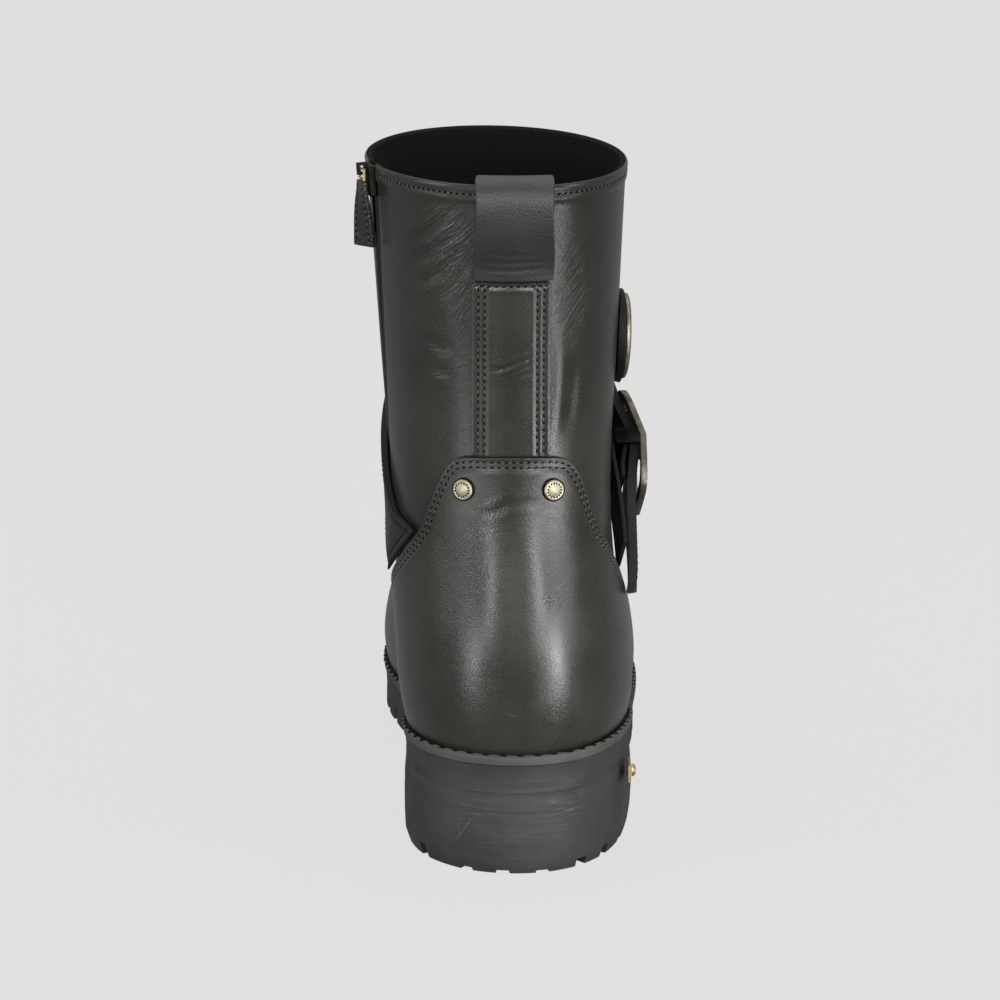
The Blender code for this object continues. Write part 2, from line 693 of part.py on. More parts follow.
loop_grid = np.zeros((len(LOOP_ROWS), LOOP_COLUMNS, 3))
for r, row in enumerate(LOOP_ROWS):
    level = rise_at_height(np.zeros(1), np.array([min(row.height, SECTIONS[-1].back_z)]))
    across_loop = LOOP_MIDDLE + np.linspace(-0.5, 0.5, LOOP_COLUMNS) * LOOP_WIDTH
    turns = across_loop / wall_frame(np.zeros(1), level)[2]
    surface, normal, _, _ = wall_frame(turns, np.full(LOOP_COLUMNS, level[0]))
    centre = LOOP_COLUMNS // 2
    flat = surface.copy()
    flat[:, 1] = surface[centre, 1]
    across = row.bend * normal[:, :2] + (1 - row.bend) * normal[centre, :2]
    across /= np.linalg.norm(across, axis=1)[:, None]
    loop_grid[r, :, :2] = (row.bend * surface + (1 - row.bend) * flat)[:, :2] + across * row.out
    loop_grid[r, :, 2] = row.height
sheet("pull_loop", loop_grid, LOOP_THICK, LEATHER)

# Instep strap: from the inner counter flank round the front, through the buckle on the outer side, to its tail.
# deg is the turn round the foot, height that of the strap's middle, off its inner face's way from the wall.
STRAP_WIDTH = 24.0
STRAP_POINTS = 43
StrapRow = namedtuple("StrapRow", "deg height off thick")
STRAP_ROWS = (
    StrapRow(308, 112.5, 0.8, 2.0),
    StrapRow(300, 117.5, 0.6, 2.3),
    StrapRow(286, 126.5, 0.6, 2.4),
    StrapRow(266, 137.0, 0.7, 2.6),
    StrapRow(240, 148.0, 1.4, 3.0),
    StrapRow(210, 155.5, 2.6, 3.4),
    StrapRow(180, 158.0, 2.6, 3.4),
    StrapRow(150, 158.0, 2.4, 3.4),
    StrapRow(122, 156.0, 1.5, 3.4),
    StrapRow(107, 152.0, 0.9, 3.4),
    StrapRow(98, 146.5, 2.2, 3.4),
    StrapRow(88, 136.0, 7.6, 3.4),
    StrapRow(79, 126.0, 6.4, 3.4),
    StrapRow(72, 116.0, 5.6, 3.4),
    StrapRow(65, 104.5, 5.2, 3.4),
    StrapRow(60, 94.0, 4.2, 3.4),
    StrapRow(57, 87.0, 2.7, 3.4),
)
# Its thinned back end, which is cut along the counter's flank: the lower and the upper corner
END_DEG, END_HEIGHTS = (304.5, 323.6), (98.4, 119.9)
END_OFF, END_THICK = 2.5, 1.0

steps = np.arange(len(STRAP_ROWS))
fine = np.linspace(0, len(STRAP_ROWS) - 1, STRAP_POINTS)
strap_deg, strap_height, strap_off, strap_thick = spline(steps, [list(row) for row in STRAP_ROWS], fine).T
turns = np.radians(strap_deg)
point, normal, _, _ = wall_frame(turns, rise_at_height(turns, strap_height))
path = point + normal * strap_off[:, None]
across = np.cross(np.gradient(path, axis=0), normal)
across *= STRAP_WIDTH / 2 / np.linalg.norm(across, axis=1)[:, None]
low_edge, high_edge = path - across, path + across
outwards = normal * strap_thick[:, None]
strap_rings = np.stack([low_edge, high_edge, high_edge + outwards, low_edge + outwards], axis=1)
end_turns = np.radians(END_DEG)
end_low, end_high = lifted(end_turns, rise_at_height(end_turns, np.array(END_HEIGHTS)), END_OFF)
end_out = normal[0] * END_THICK
strap_end = np.stack([end_low, end_high, end_high + end_out, end_low + end_out])
beam("instep_strap", [strap_end, *strap_rings], LEATHER)

# Buckle: a bent frame with ears that hold the centre bar. It is drawn in its own axes: x along the strap
# towards the tail, y across it, z out from the shaft.
BUCKLE_DEG, BUCKLE_HEIGHT = 88.0, 136.0
ANCHOR_DEG, ANCHOR_HEIGHT = 56.0, 103.0
FRAME_LENGTH, FRAME_WIDTH = 42.0, 31.0
END_RAIL, SIDE_RAIL = 4.6, 3.2
FRAME_THICK = 2.3
FRAME_BEND = ((-21.0, 5.2), (0.0, 11.2), (21.0, 10.2))  # along the strap, its inner face from the shaft
FRAME_POINTS = 28
SQUARENESS = 5.0
BAR_RADIUS = 1.4
BAR_OUT = 3.9
EAR = (3.0, 1.2)  # half its length along the strap, half its width
EAR_BELOW_BAR = 0.6
EAR_BEVEL = 0.5

buckle_point, buckle_out, _, _ = spot(BUCKLE_DEG, BUCKLE_HEIGHT)
anchor_point, _, _, _ = spot(ANCHOR_DEG, ANCHOR_HEIGHT)
tail_way = anchor_point - buckle_point
tail_way = (tail_way - tail_way.dot(buckle_out) * buckle_out).normalized()
buckle_place = frame_at(buckle_point, tail_way, buckle_out.cross(tail_way), buckle_out)


def in_buckle(points):
    """Points drawn in the buckle's axes, in millimetres of the boot."""
    return [buckle_place @ Vector(point) / MM for point in points]


def frame_ring(length, width, out):
    """A rounded rectangle on the bent surface of the frame."""
    angles = np.arange(FRAME_POINTS) * 2 * math.pi / FRAME_POINTS
    x = length / 2 * np.sign(np.cos(angles)) * np.abs(np.cos(angles)) ** (2 / SQUARENESS)
    y = width / 2 * np.sign(np.sin(angles)) * np.abs(np.sin(angles)) ** (2 / SQUARENESS)
    bend = np.interp(x, [knot for knot, _ in FRAME_BEND], [level for _, level in FRAME_BEND])
    return in_buckle(np.stack([x, y, bend + out], axis=-1))


inside = (FRAME_LENGTH - 2 * END_RAIL, FRAME_WIDTH - 2 * SIDE_RAIL)
frame_rings = [
    frame_ring(FRAME_LENGTH, FRAME_WIDTH, 0.0),
    frame_ring(FRAME_LENGTH, FRAME_WIDTH, FRAME_THICK),
    frame_ring(*inside, FRAME_THICK),
    frame_ring(*inside, 0.0),
]
buckle_frame = hoop("buckle_frame", [np.array([list(p) for p in ring]) for ring in frame_rings], NICKEL)
ear_y = FRAME_WIDTH / 2 - SIDE_RAIL / 2
ear_top = FRAME_BEND[1][1] + FRAME_THICK / 2
for side, ear_name in ((1, "buckle_ear_upper"), (-1, "buckle_ear_lower")):
    low = (-EAR[0], side * ear_y - EAR[1], BAR_OUT - BAR_RADIUS - EAR_BELOW_BAR)
    high = (EAR[0], side * ear_y + EAR[1], ear_top)
    join_in(buckle_frame, block(ear_name, low, high, EAR_BEVEL, buckle_place, NICKEL))

bar_half = ear_y - EAR[1] - GAP
wire("buckle_bar", in_buckle([(0, -bar_half, BAR_OUT), (0, bar_half, BAR_OUT)]), BAR_RADIUS, NICKEL)

# Prong: from the strap over the bar to the frame's upper end
PRONG_RADIUS = 1.3
PRONG_PATH = ((2.5, 0, 12.8), (-2.0, 0, 13.6), (-12.0, 0, 12.0), (-21.5, 0, 9.7))
wire("buckle_prong", in_buckle(PRONG_PATH), PRONG_RADIUS, NICKEL)

# Buckle strap: from the outer counter flank to the bar, round it and back. Its rows hold the way from the bar
# towards the counter, and the way of its middle from the wall.
CHAPE_WIDTH = 22.0
CHAPE_THICK = 1.6
CHAPE_LENGTH = 43.0
FOLD_RADIUS = BAR_RADIUS + GAP + CHAPE_THICK / 2
FOLD_STEPS = 8
CHAPE_RUN = ((42.0, 3.0), (35.0, 3.0), (27.0, 2.8), (18.0, 2.4), (9.0, 1.7), (4.0, 1.45))
CHAPE_RETURN = ((4.5, 5.8), (8.0, 4.8), (12.0, 4.4), (15.0, 4.4))

chape = list(CHAPE_RUN)
for k in range(FOLD_STEPS + 1):
    angle = -math.pi / 2 - k * math.pi / FOLD_STEPS
    chape.append((FOLD_RADIUS * math.cos(angle), BAR_OUT + FOLD_RADIUS * math.sin(angle)))
chape += CHAPE_RETURN
chape = np.array(chape)
share = chape[:, 0] / CHAPE_LENGTH
chape_turns = np.radians(BUCKLE_DEG + (ANCHOR_DEG - BUCKLE_DEG) * share)
chape_heights = BUCKLE_HEIGHT + (ANCHOR_HEIGHT - BUCKLE_HEIGHT) * share
point, normal, _, _ = wall_frame(chape_turns, rise_at_height(chape_turns, chape_heights))
path = point + normal * chape[:, 1:]
across = np.array(buckle_out.cross(tail_way))
chape_grid = np.stack([path - across * CHAPE_WIDTH / 2, path + across * CHAPE_WIDTH / 2], axis=1)
chape_strap = sheet("buckle_strap", chape_grid, CHAPE_THICK, LEATHER)
chape_strap.modifiers["thickness"].offset = 0.0

# Counter rivets: domed heads near the counter's top corners
RIVET_HEIGHT = 138.0
RIVET_PROFILE = ((0, 0), (3.7, 0), (3.7, 0.7), (2.9, 1.1), (0, 1.4))
RIVET_SIDES = 14
RIVET_SEAT = LAP + 2.4 * GAP  # from the upper
for rivet, rivet_deg in (("counter_rivet_inner", -17.5), ("counter_rivet_outer", 15.8)):
    rivet_point, rivet_out, rivet_round, rivet_up = spot(rivet_deg, RIVET_HEIGHT)
    seat = rivet_point + rivet_out * RIVET_SEAT
    lathe(rivet, RIVET_PROFILE, frame_at(seat, rivet_round, rivet_up, rivet_out), NICKEL, RIVET_SIDES)

# Medallion: a metal disc on a leather disc, on the outer side of the shaft
MEDALLION_DEG, MEDALLION_HEIGHT = 87.0, 182.0
BACKING_RADIUS = 17.5
BACKING_FACE = 2.0
BACKING_SIDES = 20
MEDALLION_PROFILE = ((0, 0), (15.2, 0), (15.6, 0.4), (15.5, 1.2), (14.4, 1.7), (13.0, 1.2), (0, 2.2))
MEDALLION_SIDES = 22

disc_point, disc_out, disc_round, disc_up = spot(MEDALLION_DEG, MEDALLION_HEIGHT)
disc_turn = np.array([math.radians(MEDALLION_DEG)])
disc_rise = rise_at_height(disc_turn, np.array([MEDALLION_HEIGHT]))
_, _, disc_span, disc_climb = wall_frame(disc_turn, disc_rise)
angles = np.arange(BACKING_SIDES) * 2 * math.pi / BACKING_SIDES
backing_points = []
for radius in (BACKING_RADIUS, BACKING_RADIUS / 2):
    turns = disc_turn + radius * np.cos(angles) / disc_span
    rises = disc_rise + radius * np.sin(angles) / disc_climb
    backing_points.append(seated(turns, rises, GAP))
face_place = frame_at(disc_point + disc_out * BACKING_FACE, disc_round, disc_up, disc_out)
for radius in (BACKING_RADIUS / 2, BACKING_RADIUS):
    ring = [face_place @ Vector((radius * math.cos(a), radius * math.sin(a), 0.0)) / MM for a in angles]
    backing_points.append(np.array([list(p) for p in ring]))
order = [1, 0, 3, 2]
backing_faces = []
for low, high in zip(order, order[1:]):
    for i in range(BACKING_SIDES):
        j = (i + 1) % BACKING_SIDES
        a, b = low * BACKING_SIDES, high * BACKING_SIDES
        backing_faces.append([a + i, a + j, b + j, b + i])
backing_faces.append([order[0] * BACKING_SIDES + i for i in range(BACKING_SIDES)])
backing_faces.append([order[-1] * BACKING_SIDES + i for i in range(BACKING_SIDES)])
make("medallion_backing", np.concatenate(backing_points), backing_faces, LEATHER)
medallion_seat = disc_point + disc_out * (BACKING_FACE + GAP)
medallion_place = frame_at(medallion_seat, disc_round, disc_up, disc_out)
lathe("medallion", MEDALLION_PROFILE, medallion_place, NICKEL, MEDALLION_SIDES)

# Zip: tape in the slot of the upper, with the row of teeth on it, both below the upper's face
TAPE_SINK = 1.9
TAPE_THICK = 1.2
TEETH_WIDTH = 5.5
TEETH_THICK = 0.9
ZIP_END_GAP = 0.5

zip_rises = UPPER_RISES[zip_row:-1].copy()
zip_rises[0] += ZIP_END_GAP
zip_rises[-1] -= ZIP_END_GAP
zip_spans = wall_frame(np.full(len(zip_rises), zip_turn), zip_rises)[2]
sides = np.array([-0.5, 0.5])[None, :]
tape_turns = zip_turn + sides * (ZIP_WIDTH - 2 * GAP) / zip_spans[:, None]
sheet("zip_tape", lifted(tape_turns, zip_rises[:, None], -TAPE_SINK), TAPE_THICK, TAPE, outwards=False)
teeth_turns = zip_turn + sides * TEETH_WIDTH / zip_spans[:, None]
sheet("zip_teeth", lifted(teeth_turns, zip_rises[:, None], GAP - TAPE_SINK), TEETH_THICK, BRASS)

# Slider: at the top of the zip, with a bridge that holds the pull's link. Its axes: x round the wall, y up,
# z out.
ZIP_DEG = ZIP_COLUMN * COLUMN_DEG
SLIDER_HEIGHT = 241.8
HINGE_UP, HINGE_OUT = 4.4, 3.9
SLIDER_LOW, SLIDER_HIGH = (-4.2, -5.5, -0.3), (4.2, 5.5, 2.6)
SLIDER_BEVEL = 0.4
BRIDGE_THICK = 0.8
BRIDGE_HALF_WIDTH = 1.2
BRIDGE_HALF_SPAN = 1.7
BRIDGE_FOOT, BRIDGE_TOP = 2.0, HINGE_OUT + 1.35

zip_point, zip_out, zip_round, zip_up = spot(ZIP_DEG, SLIDER_HEIGHT)
slider_place = frame_at(zip_point, zip_round, zip_up, zip_out)
slider = block("zip_slider", SLIDER_LOW, SLIDER_HIGH, SLIDER_BEVEL, slider_place, BRASS)
bridge_path = (
    (HINGE_UP - BRIDGE_HALF_SPAN, BRIDGE_FOOT),
    (HINGE_UP - BRIDGE_HALF_SPAN, BRIDGE_TOP),
    (HINGE_UP + BRIDGE_HALF_SPAN, BRIDGE_TOP),
    (HINGE_UP + BRIDGE_HALF_SPAN, BRIDGE_FOOT),
)
bridge_grid = [
    [slider_place @ Vector((x, y, z)) / MM for x in (-BRIDGE_HALF_WIDTH, BRIDGE_HALF_WIDTH)]
    for y, z in bridge_path
]
bridge = sheet("zip_bridge", np.array(bridge_grid), BRIDGE_THICK, BRASS)
bridge.modifiers["thickness"].offset = 0.0
join_in(slider, bridge)

# Pull: a wire link through the bridge, and a leather tab on it. They hang plumb and swing about the link's
# top bar.
LINK_RADIUS = 0.55
LINK_HALF = 3.6
LINK_DROP = 3.6  # more than the reach of the bridge's corners, which it swings past
TAB_WIDTH = 10.0
TAB_THICK = 2.0
TAB_TOP, TAB_FOOT = 4.4, 28.0  # below the hinge
TAB_TWIST_FROM, TAB_TWIST_DEG = 9.5, 30.0
TAB_LEAN = 0.05  # towards the shaft, for each unit down
TAB_ROWS = 8

hinge = zip_point + zip_up * HINGE_UP + zip_out * HINGE_OUT
up = Vector((0, 0, 1))
hinge_way = Vector((zip_round.x, zip_round.y, 0.0)).normalized()
away = hinge_way.cross(up)
link = [
    hinge - hinge_way * LINK_HALF,
    hinge + hinge_way * LINK_HALF,
    hinge + hinge_way * LINK_HALF - up * LINK_DROP,
    hinge - hinge_way * LINK_HALF - up * LINK_DROP,
]
hang(wire("zip_pull_link", link, LINK_RADIUS, BRASS, closed=True), hinge)
tab_grid = np.zeros((TAB_ROWS, 2, 3))
for r, drop in enumerate(np.linspace(TAB_FOOT, TAB_TOP, TAB_ROWS)):
    twist = max(0.0, (drop - TAB_TWIST_FROM) / (TAB_FOOT - TAB_TWIST_FROM))
    angle = math.radians(TAB_TWIST_DEG) * math.sqrt(twist)
    way = hinge_way * math.cos(angle) - away * math.sin(angle)
    middle = hinge - up * drop - away * max(0.0, drop - TAB_TWIST_FROM) * TAB_LEAN
    for c, half in enumerate((-0.5, 0.5)):
        tab_grid[r, c] = middle + way * half * TAB_WIDTH
tab = sheet("zip_pull_tab", tab_grid, TAB_THICK, LEATHER)
tab.modifiers["thickness"].offset = 0.0
hang(tab, hinge)

# Heel plate: a small metal plate with a stud, on the outer side of the heel
PLATE_S, PLATE_HEIGHT = 42.0, 26.8
PLATE_LENGTH, PLATE_TALL, PLATE_THICK = 12.0, 6.4, 1.4
PLATE_BEVEL = 0.4
STUD_PROFILE = ((0, 0), (2.4, 0), (2.4, 0.5), (1.7, 1.3), (0, 1.6))
STUD_SIDES = 12

plate_turns = np.arccos(1 - 2 * (PLATE_S + PLATE_LENGTH * np.array([-0.5, 0.0, 0.5])) / SOLE_LENGTH)
side_x = float(edge_plan(plate_turns, HEEL_STEPS[1][1])[0].max())
plate_seat = Vector((side_x + GAP, PLATE_S - HEEL_MIDDLE, PLATE_HEIGHT))
plate_place = frame_at(plate_seat, Vector((0, 1, 0)), Vector((0, 0, 1)), Vector((1, 0, 0)))
half = (PLATE_LENGTH / 2, PLATE_TALL / 2)
plate_low, plate_high = (-half[0], -half[1], 0), (half[0], half[1], PLATE_THICK)
block("heel_plate", plate_low, plate_high, PLATE_BEVEL, plate_place, BRASS)
stud_place = plate_place @ Matrix.Translation((0, 0, PLATE_THICK + GAP))
lathe("heel_stud", STUD_PROFILE, stud_place, BRASS, STUD_SIDES)
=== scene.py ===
"""Looks of the right motorcycle boot: leather, rubber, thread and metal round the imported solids."""

import math

import bmesh
import bpy
import numpy as np
from mathutils import Matrix, Quaternion, Vector
from mathutils.bvhtree import BVHTree


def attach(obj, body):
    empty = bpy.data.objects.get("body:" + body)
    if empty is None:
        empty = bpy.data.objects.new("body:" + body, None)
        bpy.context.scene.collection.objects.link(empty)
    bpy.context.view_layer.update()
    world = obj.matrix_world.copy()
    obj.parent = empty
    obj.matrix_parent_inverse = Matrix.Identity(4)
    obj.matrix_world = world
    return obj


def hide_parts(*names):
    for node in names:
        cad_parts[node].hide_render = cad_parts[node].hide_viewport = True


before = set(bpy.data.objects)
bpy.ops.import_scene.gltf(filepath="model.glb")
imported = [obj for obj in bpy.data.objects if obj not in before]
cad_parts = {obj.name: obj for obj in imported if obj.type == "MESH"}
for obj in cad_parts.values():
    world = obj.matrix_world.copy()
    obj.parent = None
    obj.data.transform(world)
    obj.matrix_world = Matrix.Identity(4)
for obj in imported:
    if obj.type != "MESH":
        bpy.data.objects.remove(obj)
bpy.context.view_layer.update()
MM = 0.001

# Studio: a pale floor that fills the view, two tall soft boxes beside the camera that draw the long
# highlights on the heel, cards low beside it, a box on each side and one above for the collar, and a camera
# straight behind the boot and a little above it.
CAMERA_PLACE = (0.0, -1.601, 0.501)
CAMERA_PITCH_DEG = 13.13
CAMERA_LENS_MM = 165.0
CAMERA_SHIFT = -0.016
FLOOR_HALF = 6.0
FLOOR_COLOUR = (0.03, 0.03, 0.03)
FLOOR_SEEN = (0.712, 0.698, 0.698)  # the lit backdrop's own even share
FLOOR_FILL = (0.20, 0.196, 0.197)  # what of it reaches the boot
WORLD_STRENGTH = 0.30
WORLD_COLOUR = (1.0, 0.99, 0.98, 1.0)
# name, place, point that it faces, width, height, lean in degrees, watts, spread in degrees
SOFT_BOXES = (
    ("soft_box_inner", (-0.57, -1.66, 0.62), (0.0, 0.0, 0.12), 0.13, 1.25, -22, 13, 180),
    ("soft_box_outer", (0.64, -1.65, 0.62), (0.0, 0.0, 0.12), 0.13, 1.25, 22, 20, 180),
    ("soft_box_side", (1.75, -0.65, 0.70), (0.0, 0.0, 0.15), 0.5, 1.2, 0, 7, 180),
    ("soft_box_inner_side", (-1.8, -0.45, 0.70), (0.0, 0.0, 0.15), 0.5, 1.2, 0, 8, 180),
    ("card_inner", (-0.24, -0.25, 0.015), (-0.02, -0.03, 0.03), 0.12, 0.12, 0, 0.030, 50),
    ("card_outer", (0.25, -0.25, 0.015), (0.02, -0.03, 0.03), 0.12, 0.12, 0, 0.075, 50),
    ("far_card_inner", (-0.36, -0.32, 0.02), (-0.02, -0.03, 0.15), 0.22, 0.22, 0, 0.18, 180),
    ("far_card_outer", (0.38, -0.32, 0.02), (0.02, -0.03, 0.15), 0.22, 0.22, 0, 0.8, 180),
    ("soft_box_above", (0.0, 0.9, 2.6), (0.0, 0.7, 0.0), 3.4, 3.4, 0, 42, 180),
)

camera_data = bpy.data.cameras.new("camera")
camera_data.lens = CAMERA_LENS_MM
camera_data.shift_x = CAMERA_SHIFT
camera = bpy.data.objects.new("camera", camera_data)
camera.location = CAMERA_PLACE
camera.rotation_euler = (math.radians(90 - CAMERA_PITCH_DEG), 0, 0)
bpy.context.scene.collection.objects.link(camera)
bpy.context.scene.camera = camera

for name, place, aim, width, height, lean, watts, spread in SOFT_BOXES:
    light = bpy.data.lights.new(name, "AREA")
    light.shape = "RECTANGLE"
    light.size = width
    light.size_y = height
    light.energy = watts
    light.spread = math.radians(spread)
    lamp = bpy.data.objects.new(name, light)
    lamp.location = place
    facing = (Vector(aim) - Vector(place)).to_track_quat("-Z", "Y")
    lamp.rotation_euler = (facing @ Quaternion((0, 0, 1), math.radians(lean))).to_euler()
    bpy.context.scene.collection.objects.link(lamp)

world = bpy.data.worlds.new("studio")
world.use_nodes = True
world.node_tree.nodes["Background"].inputs["Strength"].default_value = WORLD_STRENGTH
world.node_tree.nodes["Background"].inputs["Color"].default_value = WORLD_COLOUR
bpy.context.scene.world = world
bpy.context.scene.view_settings.view_transform = "Standard"


class Value:
    """One output of a shader's nodes. Arithmetic on it adds Math nodes."""

    def __init__(self, tree, socket):
        self.tree = tree
        self.socket = socket

    def node(self, kind, settings=(), inputs=(), output=0):
        """Any other node, its settings set first, then the values or links of its sockets."""
        made = self.tree.nodes.new("ShaderNode" + kind)
        for key, value in dict(settings).items():
            setattr(made, key, value)
        for key, value in dict(inputs).items():
            if isinstance(value, Value):
                self.tree.links.new(value.socket, made.inputs[key])
            else:
                made.inputs[key].default_value = value
        return Value(self.tree, made.outputs[output])

    def math(self, operation, *others):
        return self.node("Math", {"operation": operation}, enumerate((self, *others)))

    def __add__(self, other):
        return self.math("ADD", other)

    def __sub__(self, other):
        return self.math("SUBTRACT", other)

    def __rsub__(self, other):
        return self.node("Math", {"operation": "SUBTRACT"}, {0: other, 1: self})

    def __mul__(self, other):
        return self.math("MULTIPLY", other)

    def clamped(self):
        return self.math("MAXIMUM", 0.0).math("MINIMUM", 1.0)

    def between(self, low, high):
        """0 below low, 1 above high, smooth between."""
        return self.node(
            "MapRange",
            {"interpolation_type": "SMOOTHSTEP"},
            {"Value": self, "From Min": low, "From Max": high},
        )

    def mix(self, low, high):
        """From one colour, or link of colours, to another."""
        return self.node("Mix", {"data_type": "RGBA"}, {"Factor": self, 6: low, 7: high}, 2)

    def stretched(self, x, y, z):
        """Coordinates drawn out along the axes."""
        return self.node("VectorMath", {"operation": "MULTIPLY"}, {0: self, 1: (x, y, z)})

    def noise(self, per_metre, detail=3.0, roughness=0.55):
        return self.node(
            "TexNoise", (), {"Vector": self, "Scale": per_metre, "Detail": detail, "Roughness": roughness}
        )

    def cells(self, per_metre, feature="F1"):
        return self.node("TexVoronoi", {"feature": feature}, {"Vector": self, "Scale": per_metre})

    def dot(self, way):
        return self.node("VectorMath", {"operation": "DOT_PRODUCT"}, {0: self, 1: way}, 1)

    def length(self):
        return self.node("VectorMath", {"operation": "LENGTH"}, {0: self}, 1)

    def bumped(self, millimetres, strength=1.0, under=None):
        """A Normal from heights between 0 and 1, that tall."""
        inputs = {"Height": self, "Distance": millimetres * MM, "Strength": strength}
        if under is not None:
            inputs["Normal"] = under
        return self.node("Bump", (), inputs)


def new_material(name):
    """A material, its shader, and the object's coordinates to draw on it with."""
    made = bpy.data.materials.new(name)
    made.use_nodes = True
    tree = made.node_tree
    coordinates = tree.nodes.new("ShaderNodeTexCoord")
    return made, tree.nodes["Principled BSDF"], Value(tree, coordinates.outputs["Object"])


def feed(shader, inputs):
    """Sets a shader's inputs to values or links."""
    for key, value in inputs.items():
        if isinstance(value, Value):
            value.tree.links.new(value.socket, shader.inputs[key])
        else:
            shader.inputs[key].default_value = value


def dress(mesh, *finishes):
    """Gives a mesh its finishes, in the order of its faces' material numbers."""
    for finish in finishes:
        mesh.materials.append(finish)


def mesh_of(shape, name, *finishes):
    """A smooth-shaded mesh of a shape, with its finishes."""
    made = bpy.data.meshes.new(name)
    shape.to_mesh(made)
    shape.free()
    made.shade_smooth()
    dress(made, *finishes)
    return made


floor_finish, floor_shader, at = new_material("floor")
seen = at.node("LightPath")  # 1 on the rays that leave the camera
feed(
    floor_shader,
    {
        "Base Color": (*FLOOR_COLOUR, 1.0),
        "Roughness": 0.9,
        "Specular IOR Level": 0.1,
        "Emission Color": seen.mix((*FLOOR_FILL, 1.0), (*FLOOR_SEEN, 1.0)),
        "Emission Strength": 1.0,
    },
)
floor_shape = bmesh.new()
bmesh.ops.create_grid(floor_shape, x_segments=1, y_segments=1, size=FLOOR_HALF)
floor = bpy.data.objects.new("floor", mesh_of(floor_shape, "floor", floor_finish))
bpy.context.scene.collection.objects.link(floor)

# Upper: the shaft and foot, cut from black full-grain cowhide about 2 mm thick, its collar turned over and
# stitched, lined with black suede. The leather is dyed through, waxed, and creased beside the pull loop.
MERGE = 1e-6
FOLD_DEG = 50.0  # leather faces that meet at more than this are its cut edges
CORNER_DEG = 38.0  # an outline that turns by more has a corner there
PAIR_DEG = 40.0  # triangles that meet at less are one quad
LONG_EDGE = 9.0  # mm, longer edges of the wall are halved
COLLAR_SEAM = 3.9  # mm below the edge
COLLAR_ENDS = (2.0, 2.0)  # mm that its seam stops short of the zip
COLLAR_FOOT = 225.0  # mm, from where up the wall's inner faces are lining to the very edge
LINING_FACING = 0.1  # faces there that look outwards by less are lining
COLLAR_TROUGH_WIDE, COLLAR_TROUGH_DEEP = 1.2, 0.5
SHAFT_MIDDLE = (-5.0, 25.0)
FOLD_HEIGHT = 0.22
FOLD_BEND, FOLD_RUN = 9.0, 22.0  # mm, lengths on which the folds bend and end
FOLD_FRONT = 20.0  # mm, ahead of this the shaft has no folds
# bundles of fine folds beside the loop: middle (x, height), half size, run (x, height) and pitch in mm, share
FOLD_BUNDLES = (
    ((-25.0, 224.0), (17.0, 24.0), (0.75, 0.66), 1.8, 1.0),
    ((-19.0, 205.0), (7.0, 20.0), (0.50, 0.86), 1.7, 0.8),
    ((20.0, 206.0), (9.0, 26.0), (0.57, 0.82), 1.6, 0.6),
    ((-22.0, 182.0), (11.0, 24.0), (0.95, 0.30), 2.4, 0.3),
)
LEATHER_DARK = (0.0140, 0.0135, 0.0112, 1.0)
LEATHER_LIGHT = (0.0230, 0.0221, 0.0185, 1.0)
BLOTCH, WRINKLE, WARP, PORE = 26.0, 5.5, 4.0, 0.35  # mm, sizes in the leather's grain
WARP_REACH = 0.6  # mm
NAP = 0.6
# creases seen from behind: depth and half width in mm, then points (x, height) in mm
SHAFT_CREASES = (
    (0.55, 1.5, (-17.0, 243.0), (-24.0, 235.0), (-33.0, 227.5), (-40.0, 223.0)),
    (0.60, 1.6, (-16.5, 236.0), (-22.0, 229.0), (-30.0, 221.0), (-38.0, 216.0)),
    (0.55, 1.5, (-16.0, 229.0), (-21.0, 221.0), (-28.0, 213.5), (-35.0, 209.0)),
    (0.50, 1.4, (-16.0, 221.0), (-20.0, 213.5), (-26.0, 205.0)),
    (0.40, 1.2, (-17.0, 239.5), (-20.0, 234.5), (-25.0, 230.5)),
    (0.40, 1.2, (-17.0, 232.0), (-20.5, 226.5), (-25.0, 222.0)),
    (0.35, 1.3, (19.0, 220.0), (23.0, 214.0), (27.0, 207.0)),
    (0.35, 1.3, (20.0, 213.0), (24.0, 207.0), (27.5, 201.0)),
    (0.30, 1.5, (-33.0, 190.0), (-25.0, 188.0), (-18.0, 190.5)),
    (0.30, 1.5, (-31.0, 180.5), (-24.0, 178.5), (-18.0, 181.0)),
)
# soft forms beside the backstay, in the same columns; a negative depth is a ridge
SHAFT_FORMS = (
    (-0.7, 2.6, (15.5, 196.0), (15.5, 180.0), (14.5, 165.0), (13.5, 156.0)),
    (0.6, 2.4, (21.0, 184.0), (20.0, 172.0), (18.5, 160.0)),
    (0.5, 2.0, (-17.5, 208.0), (-17.0, 185.0), (-16.5, 160.0)),
)


def cad_copy(node):
    """A bmesh of a CAD node, its loose triangles merged and paired into quads."""
    shape = bmesh.new()
    shape.from_mesh(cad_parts[node].data)
    bmesh.ops.remove_doubles(shape, verts=shape.verts, dist=MERGE)
    bmesh.ops.join_triangles(
        shape, faces=shape.faces, angle_face_threshold=math.radians(PAIR_DEG), angle_shape_threshold=math.pi
    )
    return shape


def patches(shape):
    """Groups of faces that meet at less than the fold angle, the largest first."""
    waiting = set(shape.faces)
    groups = []
    while waiting:
        group = [waiting.pop()]
        for face in group:
            for edge in face.edges:
                if edge.calc_face_angle(0.0) < math.radians(FOLD_DEG):
                    joined = [other for other in edge.link_faces if other in waiting]
                    waiting.difference_update(joined)
                    group.extend(joined)
        groups.append(group)
    return sorted(groups, key=lambda group: -sum(face.calc_area() for face in group))


